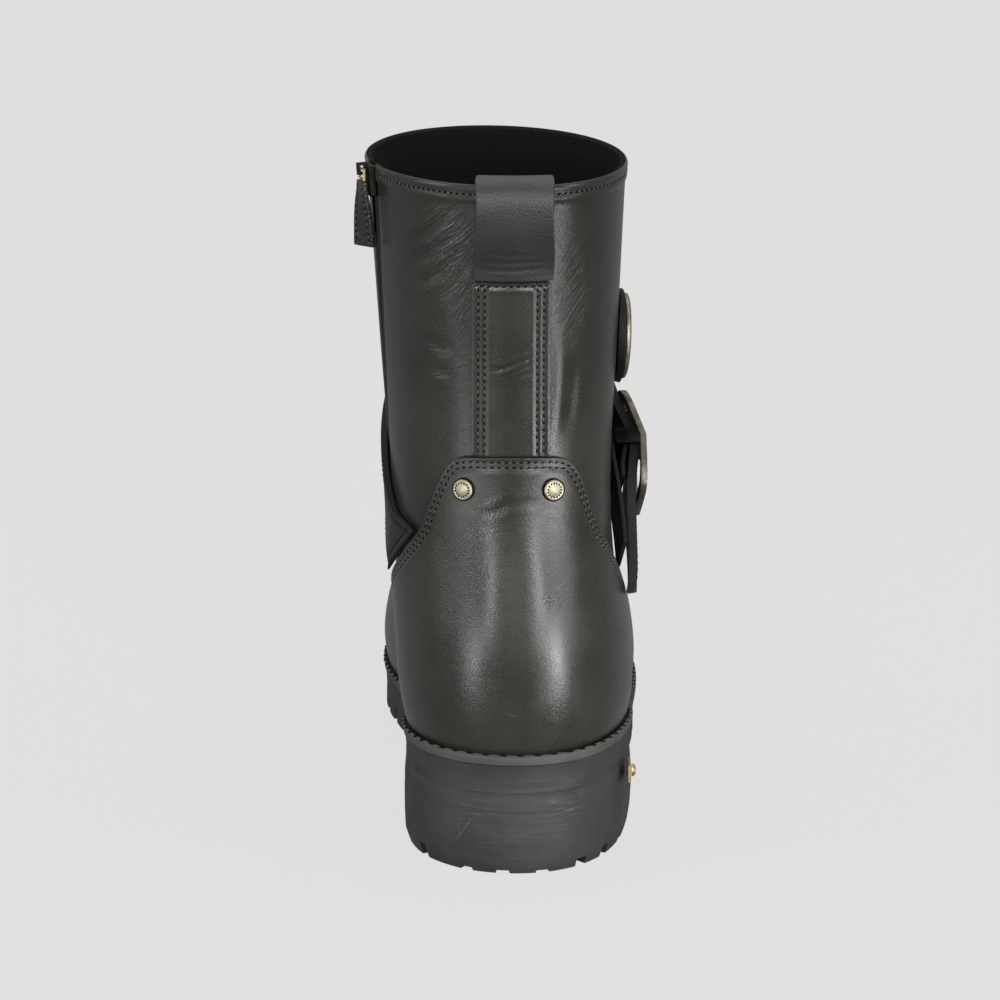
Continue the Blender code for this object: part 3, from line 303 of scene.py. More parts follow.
def chains(group):
    """Chains of points round a patch, split at its corners, each with the ways into the patch."""
    inside = set(group)
    follow = {}
    for face in group:
        for loop in face.loops:
            if any(other not in inside for other in loop.edge.link_faces):
                start, end = loop.vert, loop.link_loop_next.vert
                way = (end.co - start.co).normalized()
                follow[start] = (end, way, face.normal.cross(way))
    found = []
    while follow:
        first = next(iter(follow))
        ring = []
        vert = first
        while vert in follow:
            end, way, inwards = follow.pop(vert)
            ring.append((vert.co.copy(), way, inwards))
            vert = end
        corners = [
            i for i in range(len(ring)) if ring[i - 1][1].angle(ring[i][1]) > math.radians(CORNER_DEG)
        ]
        if not corners:
            corners = [0]
        for start, end in zip(corners, corners[1:] + [corners[0] + len(ring)]):
            run = [ring[i % len(ring)] for i in range(start, end)]
            points = [item[0] for item in run] + [ring[end % len(ring)][0]]
            ways = [item[2] for item in run]
            middles = [ways[0]] + [(a + b).normalized() for a, b in zip(ways, ways[1:])] + [ways[-1]]
            found.append((np.array(points), np.array(middles)))
    return found


def smooth_mesh(shape, name, round_mm, levels, kept=lambda edge: False):
    """A mesh of the shape, its cut edges rounded, but for the kept ones, and its faces subdivided."""
    sharp = [
        edge
        for edge in shape.edges
        if edge.calc_face_angle(0.0) > math.radians(FOLD_DEG) and not kept(edge)
    ]
    bmesh.ops.bevel(
        shape,
        geom=sharp,
        offset=round_mm * MM,
        segments=2,
        profile=0.5,
        affect="EDGES",
        material=-1,
        clamp_overlap=True,
    )
    crease = shape.edges.layers.float.new("crease_edge")
    for edge in shape.edges:
        edge[crease] = float(kept(edge))
    coarse = bpy.data.meshes.new(name + "_coarse")
    shape.to_mesh(coarse)
    shape.free()
    holder = bpy.data.objects.new(name + "_coarse", coarse)
    bpy.context.scene.collection.objects.link(holder)
    subdivision = holder.modifiers.new("subdivision", "SUBSURF")
    subdivision.levels = subdivision.render_levels = levels
    subdivision.uv_smooth = "NONE"
    made = bpy.data.meshes.new_from_object(holder.evaluated_get(bpy.context.evaluated_depsgraph_get()))
    made.name = name
    bpy.data.objects.remove(holder)
    bpy.data.meshes.remove(coarse)
    made.shade_smooth()
    return made


def tree_of(mesh):
    """A search tree of a mesh's faces."""
    shape = bmesh.new()
    shape.from_mesh(mesh)
    made = BVHTree.FromBMesh(shape)
    shape.free()
    return made


def press(mesh, paths):
    """Soft troughs along paths: each is (points, half width, depth, ridge share, whether its ends fade)."""
    count = len(mesh.vertices)
    points = np.empty(count * 3)
    normals = np.empty(count * 3)
    mesh.vertices.foreach_get("co", points)
    mesh.vertices.foreach_get("normal", normals)
    points = points.reshape(-1, 3)
    normals = normals.reshape(-1, 3)
    shift = np.zeros(count)
    for path, width, depth, ridge, fades in paths:
        path = np.asarray(path)
        reach = 4 * width
        within = (points > path.min(0) - reach) & (points < path.max(0) + reach)
        near = np.all(within, axis=1).nonzero()[0]
        lengths = np.linalg.norm(np.diff(path, axis=0), axis=1)
        starts = np.concatenate([[0.0], np.cumsum(lengths)])
        best = np.full(len(near), np.inf)
        along = np.zeros(len(near))
        for i, length in enumerate(lengths):
            if length == 0:
                continue
            way = (path[i + 1] - path[i]) / length
            share = np.clip((points[near] - path[i]) @ way, 0, length)
            gap = np.linalg.norm(points[near] - path[i] - share[:, None] * way, axis=1)
            closer = gap < best
            best[closer] = gap[closer]
            along[closer] = starts[i] + share[closer]
        profile = np.exp(-((best / width) ** 2)) - ridge * np.exp(-(((best - 2 * width) / width) ** 2))
        if fades:
            profile *= np.sin(np.pi * np.clip(along / starts[-1], 0.02, 0.98)) ** 0.6
        shift[near] += depth * profile
    mesh.vertices.foreach_set("co", (points - normals * shift[:, None]).ravel())
    mesh.update()


def from_behind(tree, points):
    """The places on a surface that are seen at points (x, height), in mm, from straight behind."""
    hits = [tree.ray_cast(Vector((x * MM, -1.0, z * MM)), Vector((0, 1, 0)))[0] for x, z in points]
    return np.array([hit for hit in hits if hit is not None])


def rounded(path, count):
    """The path through a few points, drawn smooth."""
    path = np.asarray(path)
    ends = np.vstack([2 * path[0] - path[1], path, 2 * path[-1] - path[-2]])
    drawn = []
    for i in range(1, len(ends) - 2):
        before, start, end, after = ends[i - 1 : i + 3]
        for t in np.linspace(0, 1, count, endpoint=False):
            drawn.append(
                0.5 * (2 * start + (end - before) * t + (2 * before - 5 * start + 4 * end - after) * t**2)
                + 0.5 * (3 * start - before - 3 * end + after) * t**3
            )
    return np.vstack([drawn, path[-1]])


def creases(tree, marks, ridge=0.5, look=from_behind, steps=6):
    """What press takes for creases and soft forms, each given as a depth, a half width and points."""
    return [
        (look(tree, rounded(points, steps)), width * MM, depth * MM, ridge, True)
        for depth, width, *points in marks
    ]


def row(chain, inset_mm, trim_mm=(0.0, 0.0)):
    """A seam's path, a given way in from the edge of a patch, its ends cut back."""
    points, inwards = chain
    path = points + inwards * inset_mm * MM
    lengths = np.concatenate([[0.0], np.cumsum(np.linalg.norm(np.diff(path, axis=0), axis=1))])
    count = max(3, int(lengths[-1] / (2 * MM)))
    places = np.linspace(trim_mm[0] * MM, lengths[-1] - trim_mm[1] * MM, count)
    return np.stack([np.interp(places, lengths, path[:, k]) for k in range(3)], axis=1)


def add_piece(name, mesh, body, slot, *nodes):
    """One finished object that rides on a body and stands for CAD nodes."""
    made = bpy.data.objects.new(name, mesh)
    bpy.context.scene.collection.objects.link(made)
    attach(made, body)
    if nodes:
        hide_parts(*nodes)


def leather(
    name,
    dark=LEATHER_DARK,
    light=LEATHER_LIGHT,
    pebble_mm=0.45,
    gloss=0.24,
    relief=0.066,
    folds=None,
    shine=0.55,
):
    """Dyed leather: pebbles of an even size, faint blotches, a wax that wears dull, and folds where given."""
    made, shader, at = new_material(name)
    soft = at.noise(1 / (BLOTCH * MM), 4.0)
    drift = at.node("TexNoise", (), {"Vector": at, "Scale": 1 / (WARP * MM)}, 1)
    warp = at.node(
        "VectorMath", {"operation": "MULTIPLY_ADD"}, {0: drift, 1: (WARP_REACH * MM,) * 3, 2: at}
    )
    pebbles = warp.cells(1 / (pebble_mm * MM), "SMOOTH_F1")
    pores = at.noise(1 / (PORE * MM), 2.0)
    wrinkles = at.noise(1 / (WRINKLE * MM), 5.0, 0.62)
    height = (1 - pebbles) * 0.95 + pores * 0.25 + wrinkles * 0.09
    colour = soft.between(0.30, 0.72).mix(dark, light)
    normal = height.bumped(relief)
    if folds is not None:
        normal = folds(at).bumped(FOLD_HEIGHT, 1.0, normal)
    feed(
        shader,
        {
            "Base Color": colour,
            "Roughness": soft.between(0.25, 0.8) * 0.08 + pebbles * 0.14 + (gloss - 0.06),
            "Normal": normal,
            "Specular IOR Level": shine,
            "Sheen Weight": 0.04,
            "Sheen Roughness": 0.4,
        },
    )
    return made


def fold_bundle(at, middle, half, way, pitch):
    """Fine folds side by side, seen from behind: their lines, and how far a place is from their middle."""
    centre = (middle[0] * MM, 0, middle[1] * MM)
    place = at.node("VectorMath", {"operation": "SUBTRACT"}, {0: at, 1: centre})
    bent = at.noise(1 / (FOLD_BEND * MM), 2.0) * (pitch * MM)
    along = place.dot((way[0], 0.0, way[1]))
    across = place.dot((-way[1], 0.0, way[0])) + bent
    drawn = at.node("CombineXYZ", (), {0: along * (1 / (FOLD_RUN * MM)), 1: across * (1 / (pitch * MM))})
    lines = drawn.noise(1.0, 2.0)
    reach = place.stretched(1 / (half[0] * MM), 0.0, 1 / (half[1] * MM)).length()
    return ((lines - 0.5).math("ABSOLUTE") * 6.0).clamped(), reach


def shaft_folds(at):
    """The folds left and right of the pull loop, on the back half of the shaft."""
    total = 0.0
    for *bundle, share in FOLD_BUNDLES:
        lines, reach = fold_bundle(at, *bundle)
        total = (1 - reach.between(0.30, 1.0)) * (lines - 1) * share + total
    depth = at.node("SeparateXYZ", (), {0: at}, 1)
    return total * (1 - depth.between(0.0, FOLD_FRONT * MM))


black_leather = leather("black_leather")
shaft_leather = leather("shaft_leather", folds=shaft_folds)
edge_leather = leather(
    "cut_leather_edge", (0.003, 0.003, 0.003, 1), (0.006, 0.006, 0.0055, 1), 0.5, 0.6, 0.12, shine=0.25
)

lining, lining_shader, at = new_material("suede_lining")
nap = at.noise(1 / (NAP * MM), 4.0, 0.7)
feed(
    lining_shader,
    {
        "Base Color": nap.mix((0.0035, 0.0035, 0.0035, 1), (0.009, 0.009, 0.009, 1)),
        "Roughness": 0.95,
        "Specular IOR Level": 0.15,
        "Normal": nap.bumped(0.35),
    },
)

upper_shape = cad_copy("upper")
long_edges = [edge for edge in upper_shape.edges if edge.calc_length() > LONG_EDGE * MM]
bmesh.ops.subdivide_edges(upper_shape, edges=long_edges, cuts=1, use_grid_fill=True)
upper_patches = patches(upper_shape)
for face in upper_patches[1]:
    face.material_index = 1
for face in upper_shape.faces:
    middle = face.calc_center_median()
    outwards = Vector((middle.x - SHAFT_MIDDLE[0] * MM, middle.y - SHAFT_MIDDLE[1] * MM, 0.0))
    if middle.z > COLLAR_FOOT * MM and face.normal.dot(outwards.normalized()) < LINING_FACING:
        face.material_index = 1
collar_chain = max(chains(upper_patches[0]), key=lambda chain: chain[0][:, 2].mean())
upper_mesh = smooth_mesh(upper_shape, "upper_leather", round_mm=0.5, levels=2)
dress(upper_mesh, shaft_leather, lining)
upper_tree = tree_of(upper_mesh)
collar_row = row(collar_chain, COLLAR_SEAM, COLLAR_ENDS)
shaft_paths = [(collar_row, COLLAR_TROUGH_WIDE * MM, COLLAR_TROUGH_DEEP * MM, 0.5, False)]
shaft_paths += creases(upper_tree, SHAFT_FORMS, ridge=0.0) + creases(upper_tree, SHAFT_CREASES)
press(upper_mesh, shaft_paths)
upper_tree = tree_of(upper_mesh)
add_piece("upper_leather", upper_mesh, "boot", "leather", "upper")

HOLE_SHARE = 0.60  # of the pitch
HOLE_WIDE, HOLE_TALL = 0.85, 0.36
HOLE_SINK = 0.02
THREAD_SHARE = 0.60  # of the pitch
THREAD_THICK = 0.60
THREAD_LIFT = 0.05
THREAD_SLANT_DEG = 30.0
TWIST = 0.5
COLLAR_PITCH = 2.5

# The thread is paler than the leather: its twist is the thread's own, its pale tone a painted highlight.
thread, thread_shader, at = new_material("black_thread_painted_highlight")
twist = at.noise(1 / (TWIST * MM), 2.0)
feed(
    thread_shader,
    {
        "Base Color": twist.mix((0.030, 0.030, 0.028, 1), (0.085, 0.084, 0.078, 1)),
        "Roughness": 0.33,
        "Normal": twist.bumped(0.06),
    },
)


def plain(name, colour, rough, shine=0.5):
    """A finish with no pattern."""
    made, shader, _ = new_material(name)
    feed(shader, {"Base Color": (*colour, 1.0), "Roughness": rough, "Specular IOR Level": shine})
    return made


def beads(name, places, finishes, body="boot", slot="leather"):
    """Many small rounded bars in one mesh. Each is (seat, way along it, normal, size in mm, turn, finish)."""
    shape = bmesh.new()
    bmesh.ops.create_uvsphere(shape, u_segments=6, v_segments=4, radius=0.5)
    ball = np.array([vert.co for vert in shape.verts])
    ball_faces = [[vert.index for vert in face.verts] for face in shape.faces]
    shape.free()
    points, faces, marks = [], [], []
    for seat, along, normal, size, turn_deg, mark in places:
        normal = np.array(normal)
        along = np.array(along) - normal * np.dot(along, normal)
        along /= np.linalg.norm(along)
        across = np.cross(normal, along)
        turn = math.radians(turn_deg)
        axes = np.array([
            along * math.cos(turn) + across * math.sin(turn),
            across * math.cos(turn) - along * math.sin(turn),
            normal,
        ])
        first = len(points) * len(ball)
        points.append(np.array(seat) + (ball * np.array(size) * MM) @ axes)
        faces += [[first + i for i in face] for face in ball_faces]
        marks += [mark] * len(ball_faces)
    mesh = bpy.data.meshes.new(name)
    mesh.from_pydata(np.concatenate(points).tolist(), [], faces)
    mesh.polygons.foreach_set("material_index", marks)
    mesh.shade_smooth()
    dress(mesh, *finishes)
    add_piece(name, mesh, body, slot)


# painted shade: the black of the needle holes and of the rivets' seats; it is also the black of the rivets'
# marks
painted_shade_and_mark_black = plain("painted_shade_and_mark_black", (0.0025, 0.0025, 0.0025), 0.9, 0.1)


def stitches(
    name,
    tree,
    rows,
    pitch,
    finish=thread,
    wide=1.0,
    body="boot",
    slant=THREAD_SLANT_DEG,
    share=THREAD_SHARE,
):
    """A seam: along each row a black bead of painted shade for the needle hole at each pitch, and the thread
    that slants from hole to hole.
    """
    places = []
    for path in rows:
        lengths = np.concatenate([[0.0], np.cumsum(np.linalg.norm(np.diff(path, axis=0), axis=1))])
        count = max(1, int(lengths[-1] / (pitch * MM)))
        hole = (pitch * HOLE_SHARE, HOLE_WIDE * wide, HOLE_TALL)
        strand = (pitch * share, THREAD_THICK * wide, THREAD_THICK)
        for i in range(2 * count):
            place = i * lengths[-1] / (2 * count)
            before, spot, after = [
                np.array([np.interp(place + step, lengths, path[:, k]) for k in range(3)])
                for step in (-0.5 * MM, 0.0, 0.5 * MM)
            ]
            seat, normal, _, _ = tree.find_nearest(Vector(spot))
            # odd places: a black bead of painted shade where the needle hole is
            if i % 2:
                places.append((seat - normal * HOLE_SINK * MM, after - before, normal, hole, slant / 2, 1))
            else:
                places.append((seat + normal * THREAD_LIFT * MM, after - before, normal, strand, -slant, 0))
    beads(name, places, (finish, painted_shade_and_mark_black), body)


stitches("collar_stitches", upper_tree, [collar_row], COLLAR_PITCH)

# Counter: a leather cup lapped over the heel, its top edge skived, turned in and sewn with two rows. It is
# moulded over a stiffener, so it is smooth, with two soft lobes down its back and creases under the rivets.
COUNTER_ROWS = (1.6, 3.5)  # mm from the edge
COUNTER_PITCH = 2.6
COUNTER_CREASES = (
    (0.30, 1.0, (-23.4, 131.0), (-15.2, 128.3), (-6.6, 131.3), (-1.0, 133.7), (11.0, 133.5), (15.5, 131.5)),
    (0.10, 1.1, (-20.0, 126.6), (-12.0, 125.8), (-4.0, 129.0)),
    (0.08, 1.1, (6.0, 130.5), (12.0, 129.6), (17.0, 128.0)),
)
# soft forms of the heel cup, in the same columns; a negative depth is a ridge
COUNTER_FORMS = (
    (-0.35, 6.0, (-10.5, 126.0), (-8.5, 104.0), (-13.0, 80.0), (-19.0, 60.0)),
    (-0.35, 6.0, (5.0, 126.0), (9.5, 104.0), (14.0, 80.0), (19.0, 60.0)),
    (0.25, 5.0, (-2.5, 126.0), (-0.5, 104.0), (-0.5, 80.0), (0.0, 58.0)),
)
SEAM_WIDTH, SEAM_DEPTH = 0.9, 0.28
ROW_ENDS = (1.0, 1.0)  # mm that a row stops short of its edge's ends


def outer_chains(shape):
    """Gives a sheet's cut edges the second material, and returns the chains round its outer face."""
    groups = patches(shape)
    for group in groups[2:]:
        for face in group:
            face.material_index = 1
    return chains(groups[0])


def troughs(rows, width=SEAM_WIDTH, depth=SEAM_DEPTH):
    """What press takes for seams: the thread pulls the leather in along each row."""
    return [(path, width * MM, depth * MM, 0.25, False) for path in rows]


def sheet(node, finish, round_mm, levels):
    """A leather sheet with dyed cut edges: its mesh, its search tree, and the chains round its outer face."""
    shape = cad_copy(node)
    edges = outer_chains(shape)
    made = smooth_mesh(shape, node + "_leather", round_mm, levels)
    dress(made, finish, edge_leather)
    return made, tree_of(made), edges


def sew(node, mesh, paths, rows, pitch, finish=thread):
    """Presses a sheet's seams and creases in, adds it, and sews its rows. Returns its new search tree."""
    press(mesh, paths)
    tree = tree_of(mesh)
    add_piece(node + "_leather", mesh, "boot", "leather", node)
    stitches(node + "_stitches", tree, rows, pitch, finish)
    return tree


def top_edge(edges):
    """The highest of the chains round a sheet."""
    return max(edges, key=lambda chain: chain[0][:, 2].mean())


counter_mesh, counter_tree, counter_edges = sheet("counter", black_leather, round_mm=0.5, levels=3)
counter_rows = [row(top_edge(counter_edges), inset, ROW_ENDS) for inset in COUNTER_ROWS]
counter_paths = troughs(counter_rows)
counter_paths += creases(counter_tree, COUNTER_FORMS, ridge=0.0) + creases(counter_tree, COUNTER_CREASES)
counter_tree = sew("counter", counter_mesh, counter_paths, counter_rows, COUNTER_PITCH)

# Vamp: the leather over toe and instep, drawn over the last while wet, so it is smooth at the toe and has
# a few soft flex folds behind the ball. Its top edge is sewn with two rows.
VAMP_ROWS = (1.6, 3.5)
# folds seen from above: depth and half width in mm, then points (x, y) in mm
VAMP_FOLDS = (
    (0.7, 3.0, (-38.0, 150.0), (-20.0, 141.0), (0.0, 138.0), (22.0, 142.0), (38.0, 152.0)),
    (0.5, 2.5, (-30.0, 137.0), (-12.0, 130.5), (8.0, 129.0), (28.0, 137.0)),
    (0.5, 2.5, (-34.0, 163.0), (-16.0, 156.0), (2.0, 154.0), (20.0, 158.0)),
)


def from_above(tree, points):
    """The places on a surface that are seen at points (x, y), in mm, from above."""
    hits = [tree.ray_cast(Vector((x * MM, y * MM, 1.0)), Vector((0, 0, -1)))[0] for x, y in points]
    return np.array([hit for hit in hits if hit is not None])


vamp_mesh, vamp_tree, vamp_edges = sheet("vamp", black_leather, round_mm=0.5, levels=3)
vamp_rows = [row(top_edge(vamp_edges), inset, ROW_ENDS) for inset in VAMP_ROWS]
vamp_paths = troughs(vamp_rows) + creases(vamp_tree, VAMP_FOLDS, ridge=0.6, look=from_above, steps=8)
sew("vamp", vamp_mesh, vamp_paths, vamp_rows, COUNTER_PITCH)

# Backstay: a straight strip of the same leather over the back seam, above the counter. It is sewn down
# with two close rows along each side and one across the top, and a few creases run across it.
STAY_ROWS = (2.6, 5.0)  # mm from the sides
STAY_TOP_ROW = 1.2
STAY_FOOT = 0.5  # mm that the rows stop short of its lower end
STAY_LONG = 10.0  # mm, an edge that rises by more is one of its sides
STAY_PITCH = 2.5
STAY_SEAM_WIDTH, STAY_SEAM_DEPTH = 0.8, 0.3
STAY_CREASES = (
    (0.20, 0.7, (-9.4, 181.5), (-5.0, 182.0), (0.2, 184.0), (6.5, 186.5)),
    (0.10, 0.6, (-1.0, 181.0), (3.0, 182.5), (6.5, 184.0)),
    (0.10, 0.6, (0.0, 178.5), (3.5, 180.0), (6.8, 181.5)),
)

stay_mesh, stay_tree, stay_edges = sheet("backstay", black_leather, round_mm=0.35, levels=4)
stay_rows = []
for points, inwards in stay_edges:
    rises = points[-1, 2] - points[0, 2]
    if abs(rises) > STAY_LONG * MM:
        ends = (STAY_FOOT, STAY_TOP_ROW) if rises > 0 else (STAY_TOP_ROW, STAY_FOOT)
        stay_rows += [row((points, inwards), inset, ends) for inset in STAY_ROWS]
    elif inwards[:, 2].mean() < 0:
        stay_rows.append(row((points, inwards), STAY_TOP_ROW, (STAY_ROWS[0], STAY_ROWS[0])))
stay_paths = troughs(stay_rows, STAY_SEAM_WIDTH, STAY_SEAM_DEPTH) + creases(stay_tree, STAY_CREASES)
sew("backstay", stay_mesh, stay_paths, stay_rows, STAY_PITCH)

# Pull loop: a strap of pebbled leather, from the backstay up over the collar to the inside. Its ends are
# sewn in under the backstay and the lining, and it is creased where it bends.
LOOP_CREASES = (
    (0.22, 0.8, (-13.0, 220.5), (-4.0, 219.8), (6.0, 220.3), (12.5, 219.8)),
    (0.22, 0.8, (-12.5, 217.8), (-2.0, 217.2), (8.0, 217.9), (12.5, 217.5)),
    (0.18, 0.8, (-12.0, 223.6), (0.0, 223.0), (11.0, 223.6)),
)
loop_leather = leather(
    "loop_leather", (0.017, 0.0168, 0.016, 1), (0.026, 0.0255, 0.024, 1), 0.7, 0.44, 0.16
)

loop_mesh, loop_tree, _ = sheet("pull_loop", loop_leather, round_mm=0.4, levels=3)
press(loop_mesh, creases(loop_tree, LOOP_CREASES))
add_piece("pull_loop_leather", loop_mesh, "boot", "leather", "pull_loop")

# Straps: the instep strap and the short buckle strap, of two layers of leather, glued, sewn along both
# edges with thread of the same black, their cut edges dyed and burnished.
STRAP_INSET = 2.4
STRAP_SEAM_WIDTH, STRAP_SEAM_DEPTH = 0.8, 0.2
strap_thread = plain("strap_thread", (0.010, 0.010, 0.0095), 0.5, 0.3)
strap_leather = leather(
    "strap_leather", (0.005, 0.005, 0.0047, 1), (0.010, 0.010, 0.0094, 1), 0.6, 0.42, 0.12, shine=0.3
)
for node in ("instep_strap", "buckle_strap"):
    strap_mesh, _, strap_edges = sheet(node, strap_leather, round_mm=0.4, levels=3)
    strap_rows = [row(chain, STRAP_INSET, (STRAP_INSET, STRAP_INSET)) for chain in strap_edges]
    strap_paths = troughs(strap_rows, STRAP_SEAM_WIDTH, STRAP_SEAM_DEPTH)
    sew(node, strap_mesh, strap_paths, strap_rows, COUNTER_PITCH, strap_thread)

# Welt: a leather strip with a rubber face, round the whole foot on the edge of the sole, with a groove along
# its top. A row of thick brown thread lies in the groove and holds upper, welt and sole together.
WELT_LEVEL = 0.8  # a face that looks up by more is its top
WELT_LIP = 0.7
WELT_GROOVE = 0.4
WELT_MIDDLE = 3.3  # mm from the outer edge to the stitches
WELT_PITCH = 6.2
WELT_THREAD = 2.0  # times as thick as the thread of the upper
WELT_THREAD_SHARE = 0.85  # of the pitch
WELT_SLANT_DEG = 4.0
RUBBER_DARK = (0.016, 0.016, 0.0158, 1.0)
RUBBER_LIGHT = (0.033, 0.0327, 0.0322, 1.0)
SCUFF_COLOUR = (0.10, 0.10, 0.096, 1.0)
BUFF_STROKES = (40.0, 40.0, 1600.0)  # strokes per metre along x, y and z
RUB_STROKES = (110.0, 110.0, 1900.0)
RUBBER_CLOUD, RUBBER_GRAIN = 18.0, 0.5  # mm


def rubber(name, dark=RUBBER_DARK, light=RUBBER_LIGHT, scuffs=()):
    """Matt rubber, buffed round the foot, so that fine strokes run level on its sides, paler where scuffed."""
    made, shader, at = new_material(name)
    strokes = at.stretched(*BUFF_STROKES).noise(1.0, 3.0)
    cloud = at.noise(1 / (RUBBER_CLOUD * MM), 4.0)
    fine = at.noise(1 / (RUBBER_GRAIN * MM), 3.0)
    colour = (strokes * 0.45 + cloud * 0.55).between(0.32, 0.70).mix(dark, light)
    rubs = at.stretched(*RUB_STROKES).noise(1.0, 3.0).between(0.50, 0.72)
    for middle, reach, share in scuffs:
        place = tuple(part * MM for part in middle)
        off = at.node("VectorMath", {"operation": "DISTANCE"}, {0: at, 1: place}, 1)
        rubbed = (1 - off.between(0.2 * reach * MM, reach * MM)) * rubs * share
        colour = rubbed.mix(colour, SCUFF_COLOUR)
    feed(
        shader,
        {
            "Base Color": colour,
            "Roughness": strokes * 0.15 + 0.58,
            "Specular IOR Level": 0.4,
            "Normal": (strokes * 0.6 + fine * 0.4).bumped(0.06),
        },
    )
    return made


# painted highlight: the welt's rubber is paler than the sole's, for the light along its top edge
welt_rubber_painted_highlight = rubber("welt_rubber_painted_highlight", (0.043, 0.043, 0.0425, 1), (0.066, 0.0655, 0.0645, 1))
# painted shade: the groove along the welt's top is near black, for the shade in it
groove_painted_shade = rubber("groove_painted_shade", (0.004, 0.004, 0.004, 1), (0.008, 0.008, 0.008, 1))
brown_thread = plain("welt_thread", (0.085, 0.066, 0.048), 0.6)

welt_shape = cad_copy("welt")
welt_top = [face for face in welt_shape.faces if face.normal.z > WELT_LEVEL]
welt_outer = max(chains(welt_top), key=lambda chain: np.ptp(chain[0][:, 1]))
bmesh.ops.inset_region(
    welt_shape,
    faces=welt_top,
    thickness=WELT_LIP * MM,
    depth=-WELT_GROOVE * MM,
    use_boundary=True,
    use_even_offset=True,
)
# the sunk top of the welt gets the near black of painted shade
for face in welt_top:
    face.material_index = 1
welt_mesh = smooth_mesh(welt_shape, "welt_rubber_painted_highlight", round_mm=0.3, levels=2)
dress(welt_mesh, welt_rubber_painted_highlight, groove_painted_shade)
add_piece("welt_rubber_painted_highlight", welt_mesh, "boot", "leather", "welt")
stitches(
    "welt_stitches",
    tree_of(welt_mesh),
    [row(welt_outer, WELT_MIDDLE)],
    WELT_PITCH,
    brown_thread,
    WELT_THREAD,
    slant=WELT_SLANT_DEG,
    share=WELT_THREAD_SHARE,
)

# Sole and heel: two mouldings of black rubber with lugs round their edges, the heel glued under the sole.
# Wear has scuffed the back of the heel.
JOINT_LOW, JOINT_HIGH = 23.0, 32.0  # mm, heights of the joint
JOINT_FRONT = 37.0
# scuffed patches on the back of the heel: middle and reach in mm, and how pale
HEEL_SCUFFS = (
    ((18.0, -34.0, 25.0), 13.0, 0.75),
    ((-14.0, -36.0, 22.0), 15.0, 0.35),
    ((2.0, -38.0, 10.0), 24.0, 0.20),
)


def at_joint(edge):
    """Whether an edge is one of the sharp ones where sole and heel meet."""
    sharp = edge.calc_face_angle(0.0) > math.radians(FOLD_DEG)
    return sharp and all(
        JOINT_LOW * MM < vert.co.z < JOINT_HIGH * MM and vert.co.y < JOINT_FRONT * MM for vert in edge.verts
    )


sole_rubber = rubber("sole_rubber", scuffs=HEEL_SCUFFS)
sole_trees = []
for node in ("outsole", "heel"):
    sole_shape = cad_copy(node)
    if node == "heel":
        joint = np.array(sorted((v.co.y, v.co.z) for v in sole_shape.verts if v.co.z > JOINT_LOW * MM))
    sole_mesh = smooth_mesh(sole_shape, node + "_rubber", round_mm=0.4, levels=1, kept=at_joint)
    dress(sole_mesh, sole_rubber)
    add_piece(node + "_rubber", sole_mesh, "boot", "rubber", node)
    sole_trees.append(tree_of(sole_mesh))

# Buffed band: sole and heel are ground flush together once they are glued, so no joint shows on their
# sides. It follows the walls' own outline, drawn smooth from below the joint to above it.
BAND_HALF_DEG = 126.0  # how far it reaches round from the back
BAND_COLUMNS, BAND_ROWS = 120, 20
BAND_BELOW, BAND_ABOVE = 10.0, 7.0  # mm from the joint
BAND_SOFT = 3.0  # mm over which the outline is drawn smooth
BAND_DEEP = 1.5
BAND_OFF, BAND_SINK = 0.12, 0.2  # mm out of the wall in its middle, and into it at its edges
BAND_EDGE = 5.0  # times steeper than across the whole band
HEEL_RADIUS = 40.0
RAY_START = 0.2  # m

band_offs = np.linspace(-BAND_BELOW, BAND_ABOVE, BAND_ROWS + 1)
soften = np.exp(-(((band_offs[:, None] - band_offs) / BAND_SOFT) ** 2))
soften /= soften.sum(axis=1, keepdims=True)
inside = np.clip((0.5 - np.abs(np.linspace(-0.5, 0.5, BAND_ROWS + 1))) * BAND_EDGE, 0, 1)
band_places = []
for turn in np.radians(np.linspace(-BAND_HALF_DEG, BAND_HALF_DEG, BAND_COLUMNS + 1)):
    out = Vector((math.sin(turn), -math.cos(turn), 0.0))
    level = np.interp(out.y * HEEL_RADIUS * MM, joint[:, 0], joint[:, 1])
    wall = []
    for off in band_offs:
        start = out * RAY_START + Vector((0, 0, level + off * MM))
        gaps = [tree.ray_cast(start, -out)[3] for tree in sole_trees]
        wall.append(RAY_START - min([gap for gap in gaps if gap is not None], default=RAY_START))
    wall = np.maximum(wall, np.median(wall) - BAND_DEEP * MM)  # where a ray slips into the joint
    wall += inside * (soften @ wall - wall + BAND_OFF * MM) - (1 - inside) * BAND_SINK * MM
    band_places.append(
        [out * reach + Vector((0, 0, level + off * MM)) for reach, off in zip(wall, band_offs)]
    )
band_shape = bmesh.new()
bmesh.ops.create_grid(band_shape, x_segments=BAND_COLUMNS, y_segments=BAND_ROWS, size=1.0)
for vert in band_shape.verts:
    column = round((vert.co.x + 1) / 2 * BAND_COLUMNS)
    vert.co = band_places[column][round((vert.co.y + 1) / 2 * BAND_ROWS)]
add_piece("buffed_band", mesh_of(band_shape, "buffed_band", sole_rubber), "boot", "rubber")

